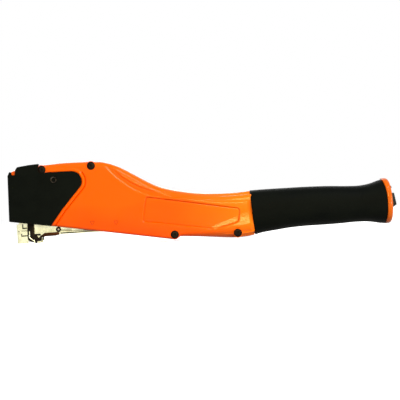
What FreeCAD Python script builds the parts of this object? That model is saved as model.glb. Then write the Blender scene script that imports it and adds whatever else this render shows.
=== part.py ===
import FreeCAD, Part
import Sketcher
import math
import os

# Hammer tacker: a handle with a heavy head whose magazine swings up when it is struck.
# Millimetres. The origin is the staple outlet on the nose's work face.
# +X runs to the handle, +Z up from the work, the magazine lies level along X, and the
# pieces are alike on both sides of the plane y = 0.

doc = FreeCAD.newDocument("hammer_tacker")

SIZES = {
    # Handle body: two shells, split at y = 0
    "body_long": 212.0,         # staple outlet to the front of the grip
    "head_high": 70.5,          # work face to the top of the head
    "body_half": 15.0,          # split plane to the flat side of a shell
    "shell_wall": 2.5,
    "top_round": 5.0,
    "belly_round": 2.2,
    "belly_slot_half": 10.6,    # half the open slot that the magazine swings through
    "label_deep": 0.8,
    "seam_gap": 0.1,
    # Swing of the magazine
    "pivot_x": 103.0,
    "pivot_z": 11.0,
    "swing": 10.1,              # degrees, rest to full stroke
    "pivot_radius": 3.0,
    "run_gap": 0.05,            # radial clearance of a turning fit
    "side_gap": 0.3,            # clearance between flat faces that move past each other
    "cut_over": 1.0,            # how far a cut runs past the face that it opens
    # Steel head guard
    "guard_thick": 1.8,
    "guard_front": 2.2,
    "guard_round": 2.0,
    # Screws, nuts and posts of the shells
    "screw_head_radius": 3.3,
    "screw_head_tall": 2.0,
    "screw_radius": 1.5,
    "screw_seat_deep": 2.6,
    "screw_socket": 1.25,
    "post_radius": 4.1,
    "nut_radius": 2.9,
    "nut_thick": 2.4,
    "nut_deep": 3.2,
    # Magazine frame, staples and rail
    "staple_wide": 11.1,
    "staple_leg": 9.5,
    "staple_wire": 0.6,
    "staple_gap": 0.3,
    "frame_thick": 1.2,
    "tray_low": 6.5,            # underside of the tray above the work face
    "tray_thick": 0.9,
    "tray_lip": 2.7,            # height of the tray's side walls
    "strip_gap": 0.2,
    "web_gap": 0.4,
    "cheek_long": 7.0,
    "cheek_tall": 24.0,
    "frame_tail": 6.0,
    # Driver, hammer block and their pins
    "blade_thick": 1.2,
    "nose_plate_thick": 2.2,
    "blade_gap": 0.1,
    "driver_pin_x": 8.0,
    "driver_pin_z": 40.5,
    "driver_pin_radius": 1.9,
    "slot_gap": 0.25,
    "yoke_thick": 1.1,
    "yoke_wall": 1.8,
    "block_half": 5.5,
    "block_front": 3.0,
    "block_rear": 46.0,
    "block_drop": 10.0,         # top of the head down to the top of the hammer block
    "block_arm": 60.0,
    "block_arm_thick": 5.7,
    "block_arm_root": 7.6,
    "block_gap": 0.9,           # block to the magazine at full stroke
    "tongue_relief": 0.6,
    "stop_pin_x": 22.0,
    "stop_pin_z": 37.0,
    "stop_pin_radius": 1.75,
    "ear_wall": 1.9,
    "rivet_radius": 1.75,
    "rivet_head_radius": 3.0,
    "rivet_head_tall": 1.0,
    "boss_radius": 4.0,
    "nose_rivet_x": 3.64,
    "nose_rivet_z": 9.42,
    "nose_rivet_radius": 0.7,
    "nose_rivet_tall": 0.3,
    "nose_slot_inset": 0.6,
    "bumper_long": 5.5,
    "bumper_tall": 6.0,
    # Return spring
    "spring_x": 54.0,
    "spring_radius": 4.5,
    "spring_wire": 1.2,
    "spring_turns": 7.0,
    "spring_high": 24.0,
    "seat_thick": 1.2,
    "seat_front": 7.2,          # spring's axis to the front and rear ends of its seat
    "seat_rear": 9.0,
    # Tray hinge, latch, pusher
    "tray_front": 7.4,
    "hinge_inset": 13.0,        # magazine pivot to the tray's hinge, along X
    "hinge_z": 10.5,
    "hinge_radius": 1.5,
    "latch_x": 15.5,
    "latch_z": 3.5,
    "latch_pin_radius": 1.5,
    "latch_boss_radius": 3.4,
    "latch_thick": 1.2,
    "latch_arm": 5.1,
    "stud_x": 4.6,
    "stud_z": 20.0,
    "stud_radius": 1.4,
    "locating_x": 34.78,
    "locating_z": 10.91,
    "locating_radius": 2.17,
    "hook_tall": 2.31,
    "lever_long": 20.0,
    "rail_wall": 1.0,
    "foot_wall": 3.5,
    "bracket_long": 3.0,
    "rod_radius": 1.2,
    "rod_z": 11.6,
    "pusher_long": 13.0,
    "coil_radius": 2.3,
    "coil_wire": 0.6,
    "coil_turns": 18.0,
    "latch_spring_turns": 3.53,
    # Grip and butt
    "grip_long": 118.0,
    "grip_high": 38.4,
    "grip_half": 16.8,
    "grip_mid_z": 17.6,
    "core_high": 27.5,
    "core_mid_z": 18.6,
    "core_half": 12.6,
    "core_wall": 2.2,
    "grip_gap": 0.15,
    "cap_long": 6.0,
    "cap_high": 40.4,
    "cap_half": 18.0,
    "cap_plug": 6.0,
    "cap_round": 1.5,
    "door_pin_radius": 1.0,
    "knuckle_radius": 1.7,
    "door_thick": 2.6,
    "door_half": 9.5,
    "door_high": 24.0,
    "door_gap": 0.3,
    "tab_out": 4.8,
}

sheet = doc.addObject("Spreadsheet::Sheet", "sizes")
for row, (alias, number) in enumerate(SIZES.items(), start=1):
    sheet.set("A%d" % row, alias)
    sheet.set("B%d" % row, repr(number))
    sheet.setAlias("B%d" % row, alias)
doc.recompute()


class Size:
    """A length that carries its value now and the expression that gives it."""

    def __init__(self, text, value):
        self.text = text
        self.value = value

    def joined(self, sign, other, value):
        return Size("(%s %s %s)" % (self.text, sign, text_of(other)), value)

    def __add__(self, other):
        return self.joined("+", other, self.value + number_of(other))

    def __sub__(self, other):
        return self.joined("-", other, self.value - number_of(other))

    def __mul__(self, other):
        return self.joined("*", other, self.value * number_of(other))

    def __truediv__(self, other):
        return self.joined("/", other, self.value / number_of(other))

    def __neg__(self):
        return Size("(0 - %s)" % self.text, -self.value)

    def sin(self):
        return Size("sin(%s)" % self.text, math.sin(math.radians(self.value)))

    def cos(self):
        return Size("cos(%s)" % self.text, math.cos(math.radians(self.value)))

    def root(self):
        return Size("sqrt(%s)" % self.text, math.sqrt(self.value))


def text_of(size):
    return size.text if isinstance(size, Size) else repr(float(size))


def number_of(size):
    return size.value if isinstance(size, Size) else float(size)


class Sheet:
    """Each alias of the sheet as a Size."""

    def __getattr__(self, alias):
        return Size("sizes." + alias, float(sheet.get(alias)))


s = Sheet()
ZERO = Size("0", 0.0)
ONE = Size("1", 1.0)
DIAGONAL = math.sqrt(0.5)
ON_FACE = 0.001                 # an edge this near a face lies on it
UPRIGHT = 0.9                   # least share of an edge's run along Z


def bind(item, path, size):
    """Bind a property to a size."""
    item.setExpression(path, text_of(size))


def turned(point, centre, angle, stretch):
    """A point turned about a centre in the XZ plane, its radius stretched."""
    x = (point[0] - centre[0]) * stretch
    z = (point[1] - centre[1]) * stretch
    return (centre[0] + x * angle.cos() - z * angle.sin(),
            centre[1] + x * angle.sin() + z * angle.cos())


def vector(point):
    return FreeCAD.Vector(number_of(point[0]), number_of(point[1]), 0)


class Bend(tuple):
    """A point that an arc passes through on its way to the next corner."""


def bend(x, z):
    return Bend((x, z))


def placed(kind, x, z):
    """A corner of an outline, or a point that an arc passes through."""
    return bend(x, z) if kind == "bend" else (x, z)


def origin_plane(body, role):
    return [item for item in body.Origin.OriginFeatures if item.Role == role][0]


def new_body(name):
    body = doc.addObject("PartDesign::Body", name)
    body.Label = name
    return body


def new_sketch(body, name, role, shift):
    sketch = body.newObject("Sketcher::SketchObject", name)
    sketch.AttachmentSupport = (origin_plane(body, role), [""])
    sketch.MapMode = "FlatFace"
    bind(sketch, "AttachmentOffset.Base.z", shift)
    return sketch


def hold(sketch, curve, end, point):
    """Keep an end of a curve at a point, measured from the sketch's origin."""
    for kind, size in (("DistanceX", point[0]), ("DistanceY", point[1])):
        mark = sketch.addConstraint(Sketcher.Constraint(kind, -1, 1, curve, end, number_of(size)))
        sketch.setExpression("Constraints[%d]" % mark, text_of(size))


def draw(sketch, outline):
    """Close an outline of straight lines, and of arcs where a bend lies between two corners."""
    if isinstance(outline[0], Bend):
        raise ValueError("an outline starts at a corner")
    steps = []
    for place, point in enumerate(outline):
        if isinstance(point, Bend):
            continue
        after = outline[(place + 1) % len(outline)]
        if isinstance(after, Bend):
            steps.append((point, after, outline[(place + 2) % len(outline)]))
        else:
            steps.append((point, None, after))
    ends = []
    for start, middle, finish in steps:
        if middle is None:
            curve = sketch.addGeometry(Part.LineSegment(vector(start), vector(finish)))
        else:
            curve = sketch.addGeometry(Part.Arc(vector(start), vector(middle), vector(finish)))
        near = sketch.getPoint(curve, 1).distanceToPoint(vector(start))
        far = sketch.getPoint(curve, 2).distanceToPoint(vector(start))
        ends.append((curve, 1, 2) if near <= far else (curve, 2, 1))
    for place, (curve, first, last) in enumerate(ends):
        following = ends[(place + 1) % len(ends)]
        sketch.addConstraint(Sketcher.Constraint("Coincident", curve, last, following[0], following[1]))
        hold(sketch, curve, first, steps[place][0])
        middle = steps[place][1]
        if middle is not None:
            mark = sketch.addGeometry(Part.Point(vector(middle)), True)
            hold(sketch, mark, 1, middle)
            sketch.addConstraint(Sketcher.Constraint("PointOnObject", mark, 1, curve))


def draw_circle(sketch, centre, radius):
    middle = vector(centre)
    circle = Part.Circle(middle, FreeCAD.Vector(0, 0, 1), number_of(radius))
    curve = sketch.addGeometry(circle)
    hold(sketch, curve, 3, centre)
    mark = sketch.addConstraint(Sketcher.Constraint("Radius", curve, number_of(radius)))
    sketch.setExpression("Constraints[%d]" % mark, text_of(radius))


def prism(body, kind, name, role, start, end, outline=None, circles=()):
    """Pad or pocket a closed outline, or circles, from start to end along the plane's normal."""
    towards = -ONE if role == "XZ_Plane" else ONE
    sketch = new_sketch(body, name + "_sketch", role, towards * start)
    if outline is not None:
        draw(sketch, outline)
    for centre, radius in circles:
        draw_circle(sketch, centre, radius)
    feature = body.newObject("PartDesign::" + kind, name)
    feature.Profile = sketch
    bind(feature, "Length", towards * (end - start))
    feature.Reversed = kind == "Pocket"
    feature.Refine = False
    sketch.Visibility = False
    return feature


def side_pad(body, name, start, end, outline=None, circles=()):
    """Add material between two y places: start is the higher one."""
    return prism(body, "Pad", name, "XZ_Plane", start, end, outline, circles)


def side_cut(body, name, start, end, outline=None, circles=()):
    return prism(body, "Pocket", name, "XZ_Plane", start, end, outline, circles)


def end_pad(body, name, start, end, outline=None, circles=()):
    """Add material between two x places."""
    return prism(body, "Pad", name, "YZ_Plane", start, end, outline, circles)


def end_cut(body, name, start, end, outline=None, circles=()):
    return prism(body, "Pocket", name, "YZ_Plane", start, end, outline, circles)


def box_outline(low_x, low_z, high_x, high_z):
    return [(low_x, low_z), (high_x, low_z), (high_x, high_z), (low_x, high_z)]


def round_box(half, low, high, radius):
    """A box with rounded corners, half wide to each side, between two heights."""
    corner = radius * (1 - DIAGONAL)
    return [(-half + radius, low), (half - radius, low), bend(half - corner, low + corner),
            (half, low + radius), (half, high - radius), bend(half - corner, high - corner),
            (half - radius, high), (-half + radius, high), bend(-half + corner, high - corner),
            (-half, high - radius), (-half, low + radius), bend(-half + corner, low + corner)]


def fillet(body, name, radius, wanted):
    """Round the edges of the body's tip that the test picks by their middle and direction."""
    doc.recompute()
    base = body.Tip
    edges = []
    for number, edge in enumerate(base.Shape.Edges, start=1):
        middle = edge.valueAt((edge.FirstParameter + edge.LastParameter) / 2)
        direction = edge.tangentAt((edge.FirstParameter + edge.LastParameter) / 2)
        if wanted(middle, direction):
            edges.append("Edge%d" % number)
    feature = body.newObject("PartDesign::Fillet", name)
    feature.Base = (base, edges)
    bind(feature, "Radius", radius)
    return feature


def rod(name, centre, radius, low_y, high_y):
    """A round rod along Y."""
    item = doc.addObject("Part::Cylinder", name)
    item.Label = name
    bind(item, "Radius", radius)
    bind(item, "Height", high_y - low_y)
    item.Placement = FreeCAD.Placement(FreeCAD.Vector(), FreeCAD.Rotation(FreeCAD.Vector(1, 0, 0), -90))
    bind(item, "Placement.Base.x", centre[0])
    bind(item, "Placement.Base.y", low_y)
    bind(item, "Placement.Base.z", centre[1])
    return item


def group(kind, name, items):
    """One object from several: a fuse, or a compound of separate solids."""
    item = doc.addObject(kind, name)
    item.Label = name
    if kind == "Part::Compound":
        item.Links = items
    else:
        item.Shapes = items
        item.Refine = True
    return item


def minus(name, base, tool):
    item = doc.addObject("Part::Cut", name)
    item.Label = name
    item.Base = base
    item.Tool = tool
    return item


# Widths and levels that several pieces share
frame_in = s.staple_wide / 2 + s.staple_gap
frame_out = frame_in + s.frame_thick
tray_in = frame_out + s.side_gap
tray_out = tray_in + s.tray_thick
latch_in = tray_out + s.side_gap
latch_out = latch_in + s.latch_thick
floor_top = s.tray_low + s.tray_thick
strip_top = floor_top + s.strip_gap + s.staple_leg
web_low = strip_top + s.web_gap
web_top = web_low + s.frame_thick
blade_back = s.blade_thick / 2
frame_front = -blade_back - s.blade_gap
plate_front = frame_front - s.nose_plate_thick
rail_front = blade_back + s.side_gap
rail_half = s.staple_wide / 2 - s.staple_wire - s.side_gap
rail_top = strip_top - s.staple_wire
pivot = (s.pivot_x, s.pivot_z)
hinge = (s.pivot_x - s.hinge_inset, s.hinge_z)
stop_pin = (s.stop_pin_x, s.stop_pin_z)
driver_pin = (s.driver_pin_x, s.driver_pin_z)
latch_pin = (s.latch_x, s.latch_z)
catch_stud = (s.stud_x, s.stud_z)
locating_stud = (s.locating_x, s.locating_z)
nose_rivet = (s.nose_rivet_x, s.nose_rivet_z)
butt = s.body_long + s.grip_long
guard_out = s.body_half + s.guard_thick


def swung_web(x):
    """Height of the magazine's top web over x when the magazine is swung fully in."""
    rise = (s.pivot_x - x) * s.swing.sin() / s.swing.cos()
    return s.pivot_z + rise + (web_top - s.pivot_z) / s.swing.cos()


def body_place(x_share, z_share):
    return (s.body_long * x_share, s.head_high * z_share)


# Side outline of the body: shares of its length and of the head's height, then the way inwards
BELLY_BOSS_SHARES = ("bend", 0.6708, -0.0397, 0.0, 1.0)
BODY_SHARES = [
    ("corner", -0.0283, 0.2865, 1.0, 1.0),
    ("corner", -0.0283, 0.8580, 1.0, -0.3),
    ("bend", -0.0151, 0.9348, 0.7, -0.7),
    ("corner", 0.0118, 0.9830, 0.3, -1.0),
    ("corner", 0.0755, 1.0000, 0.0, -1.0),
    ("corner", 0.2925, 0.9970, -0.1, -1.0),
    ("bend", 0.3962, 0.9546, -0.35, -0.94),
    ("corner", 0.4623, 0.8610, -0.5, -0.87),
    ("corner", 0.5094, 0.7759, -0.5, -0.87),
    ("bend", 0.5849, 0.6482, -0.4, -0.92),
    ("corner", 0.6745, 0.5702, -0.2, -0.98),
    ("bend", 0.7783, 0.5120, -0.1, -1.0),
    ("corner", 0.8962, 0.4936, 0.0, -1.0),
    ("corner", 1.0000, 0.5106, -1.0, -1.0),
    ("corner", 1.0000, -0.0511, -1.0, 1.0),
    ("bend", 0.9623, -0.0752, -0.5, 1.0),
    ("corner", 0.9198, -0.0780, 0.0, 1.0),
    ("corner", 0.6755, -0.0184, 0.0, 1.0),
    BELLY_BOSS_SHARES,
    ("corner", 0.6561, -0.0539, 0.0, 1.0),
]
BELLY_SLOT_SHARES = [(-0.0165, 0.42), (0.6226, 0.06), (0.6226, -0.2), (-0.0165, 0.1)]
SCREW_SHARES = [(0.1104, 0.9234), (0.3189, 0.9376), (0.6561, 0.0043), (0.9226, -0.0184)]
RIVET_SHARE = (0.1590, 0.7872)
LABEL_SHARES = [
    ("corner", 0.5580, 0.4850), ("corner", 0.9150, 0.3060), ("bend", 0.9370, 0.2900),
    ("corner", 0.9360, 0.2600), ("corner", 0.9330, 0.1400), ("bend", 0.9300, 0.1100),
    ("corner", 0.9060, 0.0950), ("corner", 0.8350, 0.0520), ("corner", 0.5400, 0.1800),
    ("bend", 0.5230, 0.1950), ("corner", 0.5220, 0.2250), ("corner", 0.5320, 0.4500),
    ("bend", 0.5380, 0.4780),
]
GUARD_SHARES = [
    ("corner", 0.1349, 0.2071), ("corner", 0.1873, 0.4099), ("corner", 0.2552, 0.6397),
    ("bend", 0.2740, 0.7000), ("corner", 0.2764, 0.7660), ("bend", 0.2665, 0.8326),
    ("corner", 0.2429, 0.8723), ("corner", 0.1297, 0.8823), ("bend", 0.0930, 0.8900),
    ("corner", 0.0972, 0.9589), ("corner", 0.1009, 1.0000), ("corner", 0.0070, 0.9730),
    ("corner", 0.0024, 0.8638), ("corner", -0.0184, 0.8638), ("corner", -0.0210, 0.9160),
]
GUARD_TOP_SHARE = 0.872
# Edges above these shares of the head's height belong to the top: first at the head, then at the grip
TOP_EDGE_SHARES = (0.60, 0.27)
CORE_ROUND_SHARE = 0.8
WAY_ROUND_SHARE = 0.4
body_front = s.body_long * BODY_SHARES[0][1]
guard_face = body_front - s.guard_front


def shares_outline(shares):
    return [placed(kind, *body_place(x_share, z_share)) for kind, x_share, z_share in shares]


def cavity_outline():
    """The body's outline moved inwards by the wall, straight past the belly boss."""
    points = []
    for row in BODY_SHARES:
        if row != BELLY_BOSS_SHARES:
            kind, x_share, z_share, in_x, in_z = row
            x, z = body_place(x_share, z_share)
            points.append(placed(kind, x + s.shell_wall * in_x, z + s.shell_wall * in_z))
    return points


core_low = s.core_mid_z - s.core_high / 2
core_top = s.core_mid_z + s.core_high / 2
bore_half = s.core_half - s.core_wall


def half_oval(side, half, low, high, radius):
    """One half of a rounded box, open at the split plane, on the side given by its sign."""
    corner = radius * (1 - DIAGONAL)
    return [(ZERO, low), ((half - radius) * side, low), bend((half - corner) * side, low + corner),
            (half * side, low + radius), (half * side, high - radius),
            bend((half - corner) * side, high - corner), ((half - radius) * side, high), (ZERO, high)]


def shell(name, side):
    """One half of the handle body; side is -1 for the left shell and 1 for the right one."""

    def span(near, far):
        return (-near, -far) if side < 0 else (far, near)

    half = s.body_half
    inside = half - s.shell_wall
    screws = [body_place(*shares) for shares in SCREW_SHARES]
    rivet = body_place(*RIVET_SHARE)
    body = new_body(name)
    outline = shares_outline([row[:3] for row in BODY_SHARES])
    side_pad(body, "wall", *span(ZERO, half), outline=outline)
    head_limit, grip_limit = [(s.head_high * share).value for share in TOP_EDGE_SHARES]
    outer_y = half.value * side
    front_x = body_front.value
    rear_x = s.body_long.value

    def outer_edge(point):
        edge_on_side = abs(point.y - outer_y) < ON_FACE
        return edge_on_side and front_x + ON_FACE < point.x < rear_x - ON_FACE

    def top_edge(point, direction):
        return outer_edge(point) and point.z > (grip_limit if point.x > rear_x / 2 else head_limit)

    def belly_edge(point, direction):
        return outer_edge(point) and not top_edge(point, direction)

    fillet(body, "top_rounding", s.top_round, top_edge)
    fillet(body, "belly_rounding", s.belly_round, belly_edge)
    side_cut(body, "cavity", *span(-s.cut_over, inside), outline=cavity_outline())
    slot = [body_place(*shares) for shares in BELLY_SLOT_SHARES]
    side_cut(body, "belly_slot", *span(-s.cut_over, s.belly_slot_half), outline=slot)
    core_round = s.core_half * CORE_ROUND_SHARE
    end_pad(body, "core", s.body_long - s.shell_wall, butt,
            outline=half_oval(side, s.core_half, core_low, core_top, core_round))
    end_cut(body, "core_bore", s.body_long - s.shell_wall - s.cut_over, butt + s.cut_over,
            outline=half_oval(side, bore_half, core_low + s.core_wall, core_top - s.core_wall,
                              bore_half * CORE_ROUND_SHARE))
    side_pad(body, "posts", *span(ZERO, inside + s.shell_wall / 2),
             circles=[(place, s.post_radius) for place in screws])
    boss_tip = latch_out + s.side_gap
    side_pad(body, "rivet_boss", *span(frame_out + s.side_gap, inside + s.shell_wall / 2),
             circles=[(rivet, s.boss_radius)])
    side_pad(body, "stop_boss", *span(boss_tip, inside + s.shell_wall / 2),
             circles=[(stop_pin, s.boss_radius)])
    side_pad(body, "pivot_boss", *span(tray_out, inside + s.shell_wall / 2),
             circles=[(pivot, s.pivot_radius + s.shell_wall)])
    over_half = half + s.cut_over
    holes = [(place, s.screw_radius + s.seam_gap) for place in screws]
    holes.append((rivet, s.rivet_radius + s.run_gap))
    side_cut(body, "through_holes", *span(-s.cut_over, over_half), circles=holes)
    side_cut(body, "pin_holes", *span(-s.cut_over, half - s.shell_wall / 2),
             circles=[(stop_pin, s.stop_pin_radius + s.run_gap), (pivot, s.pivot_radius + s.run_gap)])
    if side < 0:
        side_cut(body, "screw_seats", *span(half - s.screw_seat_deep, over_half),
                 circles=[(place, s.screw_head_radius + s.side_gap) for place in screws])
    else:
        for number, place in enumerate(screws, start=1):
            side_cut(body, "nut_seat_%d" % number, *span(half - s.nut_deep, over_half),
                     outline=hexagon(place, s.nut_radius + s.seam_gap))
    side_cut(body, "label_recess", *span(half - s.label_deep, half + s.cut_over),
             outline=shares_outline(LABEL_SHARES))
    return body


def hexagon(centre, radius):
    """A regular hexagon, radius from its centre to a corner, with two corners level."""
    points = []
    for corner in range(6):
        angle = math.radians(60 * corner)
        points.append((centre[0] + radius * math.cos(angle), centre[1] + radius * math.sin(angle)))
    return points


def head_guard():
    """Bent steel cover of the head: two cheeks and a front wall."""
    body = new_body("head_guard")
    low_front = (guard_face, s.head_high * BODY_SHARES[0][2])
    high_front = (guard_face, s.head_high * GUARD_TOP_SHARE)
    outline = [low_front] + shares_outline(GUARD_SHARES) + [high_front]
    side_pad(body, "cheeks", guard_out, -guard_out, outline=outline)
    over = s.cut_over
    room = box_outline(body_front, -over, s.pivot_x, s.head_high + over)
    side_cut(body, "head_room", s.body_half, -s.body_half, outline=room)
    rivet = body_place(*RIVET_SHARE)
    side_cut(body, "rivet_hole", guard_out + over, -guard_out - over,
             circles=[(rivet, s.rivet_radius + s.run_gap)])

    def front_corner(point, direction):
        at_side = abs(abs(point.y) - guard_out.value) < ON_FACE
        return abs(direction.z) > UPRIGHT and at_side and point.x < guard_face.value + ON_FACE

    fillet(body, "front_rounding", s.guard_round, front_corner)
    return body


def head_rivet():
    """Rivet through guard, shells and hammer block, with a flat head on each side."""
    centre = body_place(*RIVET_SHARE)
    shank = rod("head_rivet_shank", centre, s.rivet_radius, -guard_out, guard_out)
    left = rod("head_rivet_left", centre, s.rivet_head_radius, -guard_out - s.rivet_head_tall, -guard_out)
    right = rod("head_rivet_right", centre, s.rivet_head_radius, guard_out, guard_out + s.rivet_head_tall)
    return group("Part::MultiFuse", "head_rivet", [shank, left, right])


def body_screws():
    """Four socket screws that hold the shells together, heads on the left."""
    screws = []
    seat = s.body_half - s.screw_seat_deep
    nut_base = s.body_half - s.nut_deep
    for number, shares in enumerate(SCREW_SHARES, start=1):
        centre = body_place(*shares)
        head = rod("screw_head_%d" % number, centre, s.screw_head_radius,
                   -seat - s.screw_head_tall, -seat)
        shank = rod("screw_shank_%d" % number, centre, s.screw_radius, -seat, nut_base + s.nut_thick)
        socket = rod("screw_socket_%d" % number, centre, s.screw_socket,
                     -seat - s.screw_head_tall, -seat - s.screw_head_tall / 2)
        whole = group("Part::MultiFuse", "screw_whole_%d" % number, [head, shank])
        screws.append(minus("screw_%d" % number, whole, socket))
    return group("Part::Compound", "body_screws", screws)


def body_nuts():
    """Four hexagon nuts in the right shell, one on each screw."""
    nuts = []
    base = s.body_half - s.nut_deep
    for number, shares in enumerate(SCREW_SHARES, start=1):
        nut = new_body("nut_%d" % number)
        centre = body_place(*shares)
        side_pad(nut, "nut_block", base + s.nut_thick, base, outline=hexagon(centre, s.nut_radius))
        side_cut(nut, "nut_bore", base + s.nut_thick + s.cut_over, base - s.cut_over,
                 circles=[(centre, s.screw_radius + s.run_gap)])
        nuts.append(nut)
    return group("Part::Compound", "body_nuts", nuts)


yoke_low = s.driver_pin_z - s.driver_pin_radius - s.slot_gap - s.yoke_wall
yoke_top = s.driver_pin_z + s.driver_pin_radius + s.slot_gap + s.yoke_wall
yoke_back = s.driver_pin_x + s.driver_pin_radius + s.slot_gap + s.yoke_wall
pin_reach = s.pivot_x - s.driver_pin_x
pin_rise = s.driver_pin_z - s.pivot_z
pin_drift = pin_rise * s.swing.sin() - pin_reach * (ONE - s.swing.cos())
blade_half = (s.staple_wide - s.blade_gap) / 2
tongue_half = blade_half - s.yoke_thick - s.side_gap
block_neck = yoke_back + pin_drift + s.yoke_wall
block_step = yoke_top + s.yoke_wall
block_top = s.head_high - s.block_drop
arm_low = web_top + s.seat_thick + s.spring_high
bumper_front = s.block_rear - s.bumper_long - s.side_gap
bumper_top = swung_web(s.block_rear) + s.bumper_tall


def hammer_block():
    """Steel weight in the head that carries the driver pin and takes the spring's thrust."""
    body = new_body("hammer_block")
    outline = [
        (s.block_front, block_step), (block_neck, block_step),
        (block_neck, swung_web(block_neck) + s.block_gap),
        (bumper_front, swung_web(bumper_front) + s.block_gap), (bumper_front, bumper_top),
        (s.block_rear, bumper_top), (s.block_rear, arm_low), (s.block_arm, arm_low),
        (s.block_arm, arm_low + s.block_arm_thick), (s.block_rear, arm_low + s.block_arm_root),
        (s.block_rear, block_top), (s.block_front, block_top),
    ]
    side_pad(body, "weight", s.block_half, -s.block_half, outline=outline)
    tongue_round = s.driver_pin_radius + s.frame_thick - s.side_gap / 2
    tongue_front = s.driver_pin_x - tongue_round
    tongue_back = s.driver_pin_x + tongue_round
    tongue = [(tongue_front, s.driver_pin_z),
              bend(s.driver_pin_x, s.driver_pin_z - tongue_round),
              (tongue_back, s.driver_pin_z), (tongue_back, block_step + s.cut_over),
              (tongue_front + s.tongue_relief, block_step + s.cut_over),
              (tongue_front + s.tongue_relief, s.driver_pin_z + s.driver_pin_radius)]
    side_pad(body, "tongue", tongue_half, -tongue_half, outline=tongue)
    over = s.block_half + s.cut_over
    side_cut(body, "pin_holes", over, -over,
             circles=[(driver_pin, s.driver_pin_radius + s.run_gap),
                      (stop_pin, s.stop_pin_radius + s.run_gap),
                      (body_place(*RIVET_SHARE), s.rivet_radius + s.run_gap)])
    return body


def bumper():
    """Rubber pad under the hammer block that stops the magazine at full stroke."""
    body = new_body("bumper")
    back = s.block_rear - s.side_gap
    outline = [(bumper_front + s.side_gap, swung_web(bumper_front) + s.side_gap),
               (back, swung_web(back) + s.side_gap), (back, bumper_top),
               (bumper_front + s.side_gap, bumper_top)]
    side_pad(body, "pad_block", s.block_half, -s.block_half, outline=outline)
    return body


# Ear of the magazine about the stop pin, in shares of its radius: rear foot, rear shoulder, front foot
EAR_FOOT_SHARE = 4.0
EAR_SHOULDER_SHARES = (0.90, 0.44)
EAR_FRONT_SHARE = 2.0


def magazine_frame():
    """Steel channel that guides the staples, with ears that run on the stop pin."""
    body = new_body("magazine_frame")
    tail_top = (s.pivot_x, s.pivot_z + s.frame_tail)
    tail_low = (s.pivot_x, s.pivot_z - s.frame_tail)
    wall_low = floor_top + s.side_gap
    ear_round = s.stop_pin_radius + s.slot_gap + s.ear_wall
    shoulder_x, shoulder_z = EAR_SHOULDER_SHARES
    outline = [
        (frame_front, ZERO), (s.cheek_long, ZERO), (s.cheek_long, wall_low),
        (s.pivot_x - s.frame_tail, wall_low), tail_low,
        bend(s.pivot_x + s.frame_tail, s.pivot_z), tail_top, (s.pivot_x - s.frame_tail, web_top),
        (s.stop_pin_x + ear_round * EAR_FOOT_SHARE, web_top),
        (s.stop_pin_x + ear_round * shoulder_x, s.stop_pin_z + ear_round * shoulder_z),
        bend(s.stop_pin_x, s.stop_pin_z + ear_round),
        (s.stop_pin_x - ear_round * DIAGONAL, s.stop_pin_z + ear_round * DIAGONAL),
        (s.stop_pin_x - ear_round * EAR_FRONT_SHARE, s.cheek_tall), (frame_front, s.cheek_tall),
    ]
    side_pad(body, "side_walls", frame_out, -frame_out, outline=outline)
    over = s.cut_over
    front = frame_front - over
    back = s.pivot_x + s.frame_tail + over
    side_cut(body, "staple_channel", frame_in, -frame_in,
             outline=box_outline(front, -over, back, web_low))
    side_cut(body, "top_channel", frame_in, -frame_in,
             outline=box_outline(front, web_top, back, s.head_high))
    side_cut(body, "blade_way", frame_in, -frame_in,
             outline=box_outline(front, web_low - over, rail_front, web_top + over))
    reach_x = s.stop_pin_x - s.pivot_x
    reach_z = s.stop_pin_z - s.pivot_z
    reach = (reach_x * reach_x + reach_z * reach_z).root()
    slot_half = (s.stop_pin_radius + s.slot_gap) / reach
    cap = slot_half * math.degrees(1)
    inner = ONE - slot_half
    outer = ONE + slot_half
    slot = [
        turned(stop_pin, pivot, ZERO, inner), Bend(turned(stop_pin, pivot, s.swing / 2, inner)),
        turned(stop_pin, pivot, s.swing, inner), Bend(turned(stop_pin, pivot, s.swing + cap, ONE)),
        turned(stop_pin, pivot, s.swing, outer), Bend(turned(stop_pin, pivot, s.swing / 2, outer)),
        turned(stop_pin, pivot, ZERO, outer), Bend(turned(stop_pin, pivot, -cap, ONE)),
    ]
    wide = frame_out + over
    side_cut(body, "stop_slots", wide, -wide, outline=slot)
    side_cut(body, "pin_holes", wide, -wide,
             circles=[(pivot, s.pivot_radius + s.run_gap), (hinge, s.hinge_radius + s.run_gap),
                      (catch_stud, s.stud_radius + s.run_gap),
                      (locating_stud, s.stud_radius + s.run_gap),
                      (nose_rivet, s.nose_rivet_radius + s.run_gap)])
    return body


# Slots in the nose plate's cheeks: their undersides as shares of the plate's height
NOSE_SLOT_SHARES = (0.36, 0.75)


def nose_plate():
    """Hardened front plate bent round the nose; its slots show the staples."""
    body = new_body("nose_plate")
    cheek_out = frame_out + s.tray_thick
    top = web_low - s.strip_gap
    back = s.cheek_long - s.side_gap
    side_pad(body, "plate", cheek_out, -cheek_out, outline=box_outline(plate_front, ZERO, back, top))
    over = s.cut_over
    side_cut(body, "nose_room", frame_out, -frame_out,
             outline=box_outline(frame_front, -over, back + over, top + over))
    for number, share in enumerate(NOSE_SLOT_SHARES, start=1):
        low = top * share
        window = box_outline(blade_back, low, back - s.nose_slot_inset, low + s.frame_thick)
        side_cut(body, "window_%d" % number, cheek_out + over, -cheek_out - over, outline=window)
    side_cut(body, "rivet_holes", cheek_out + over, -cheek_out - over,
             circles=[(nose_rivet, s.nose_rivet_radius + s.run_gap)])

    def front_corner(point, direction):
        upright = abs(direction.z) > UPRIGHT
        return upright and abs(point.x - plate_front.value) < ON_FACE and abs(point.y) > frame_out.value

    fillet(body, "plate_rounding", s.tray_thick, front_corner)
    return body


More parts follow.
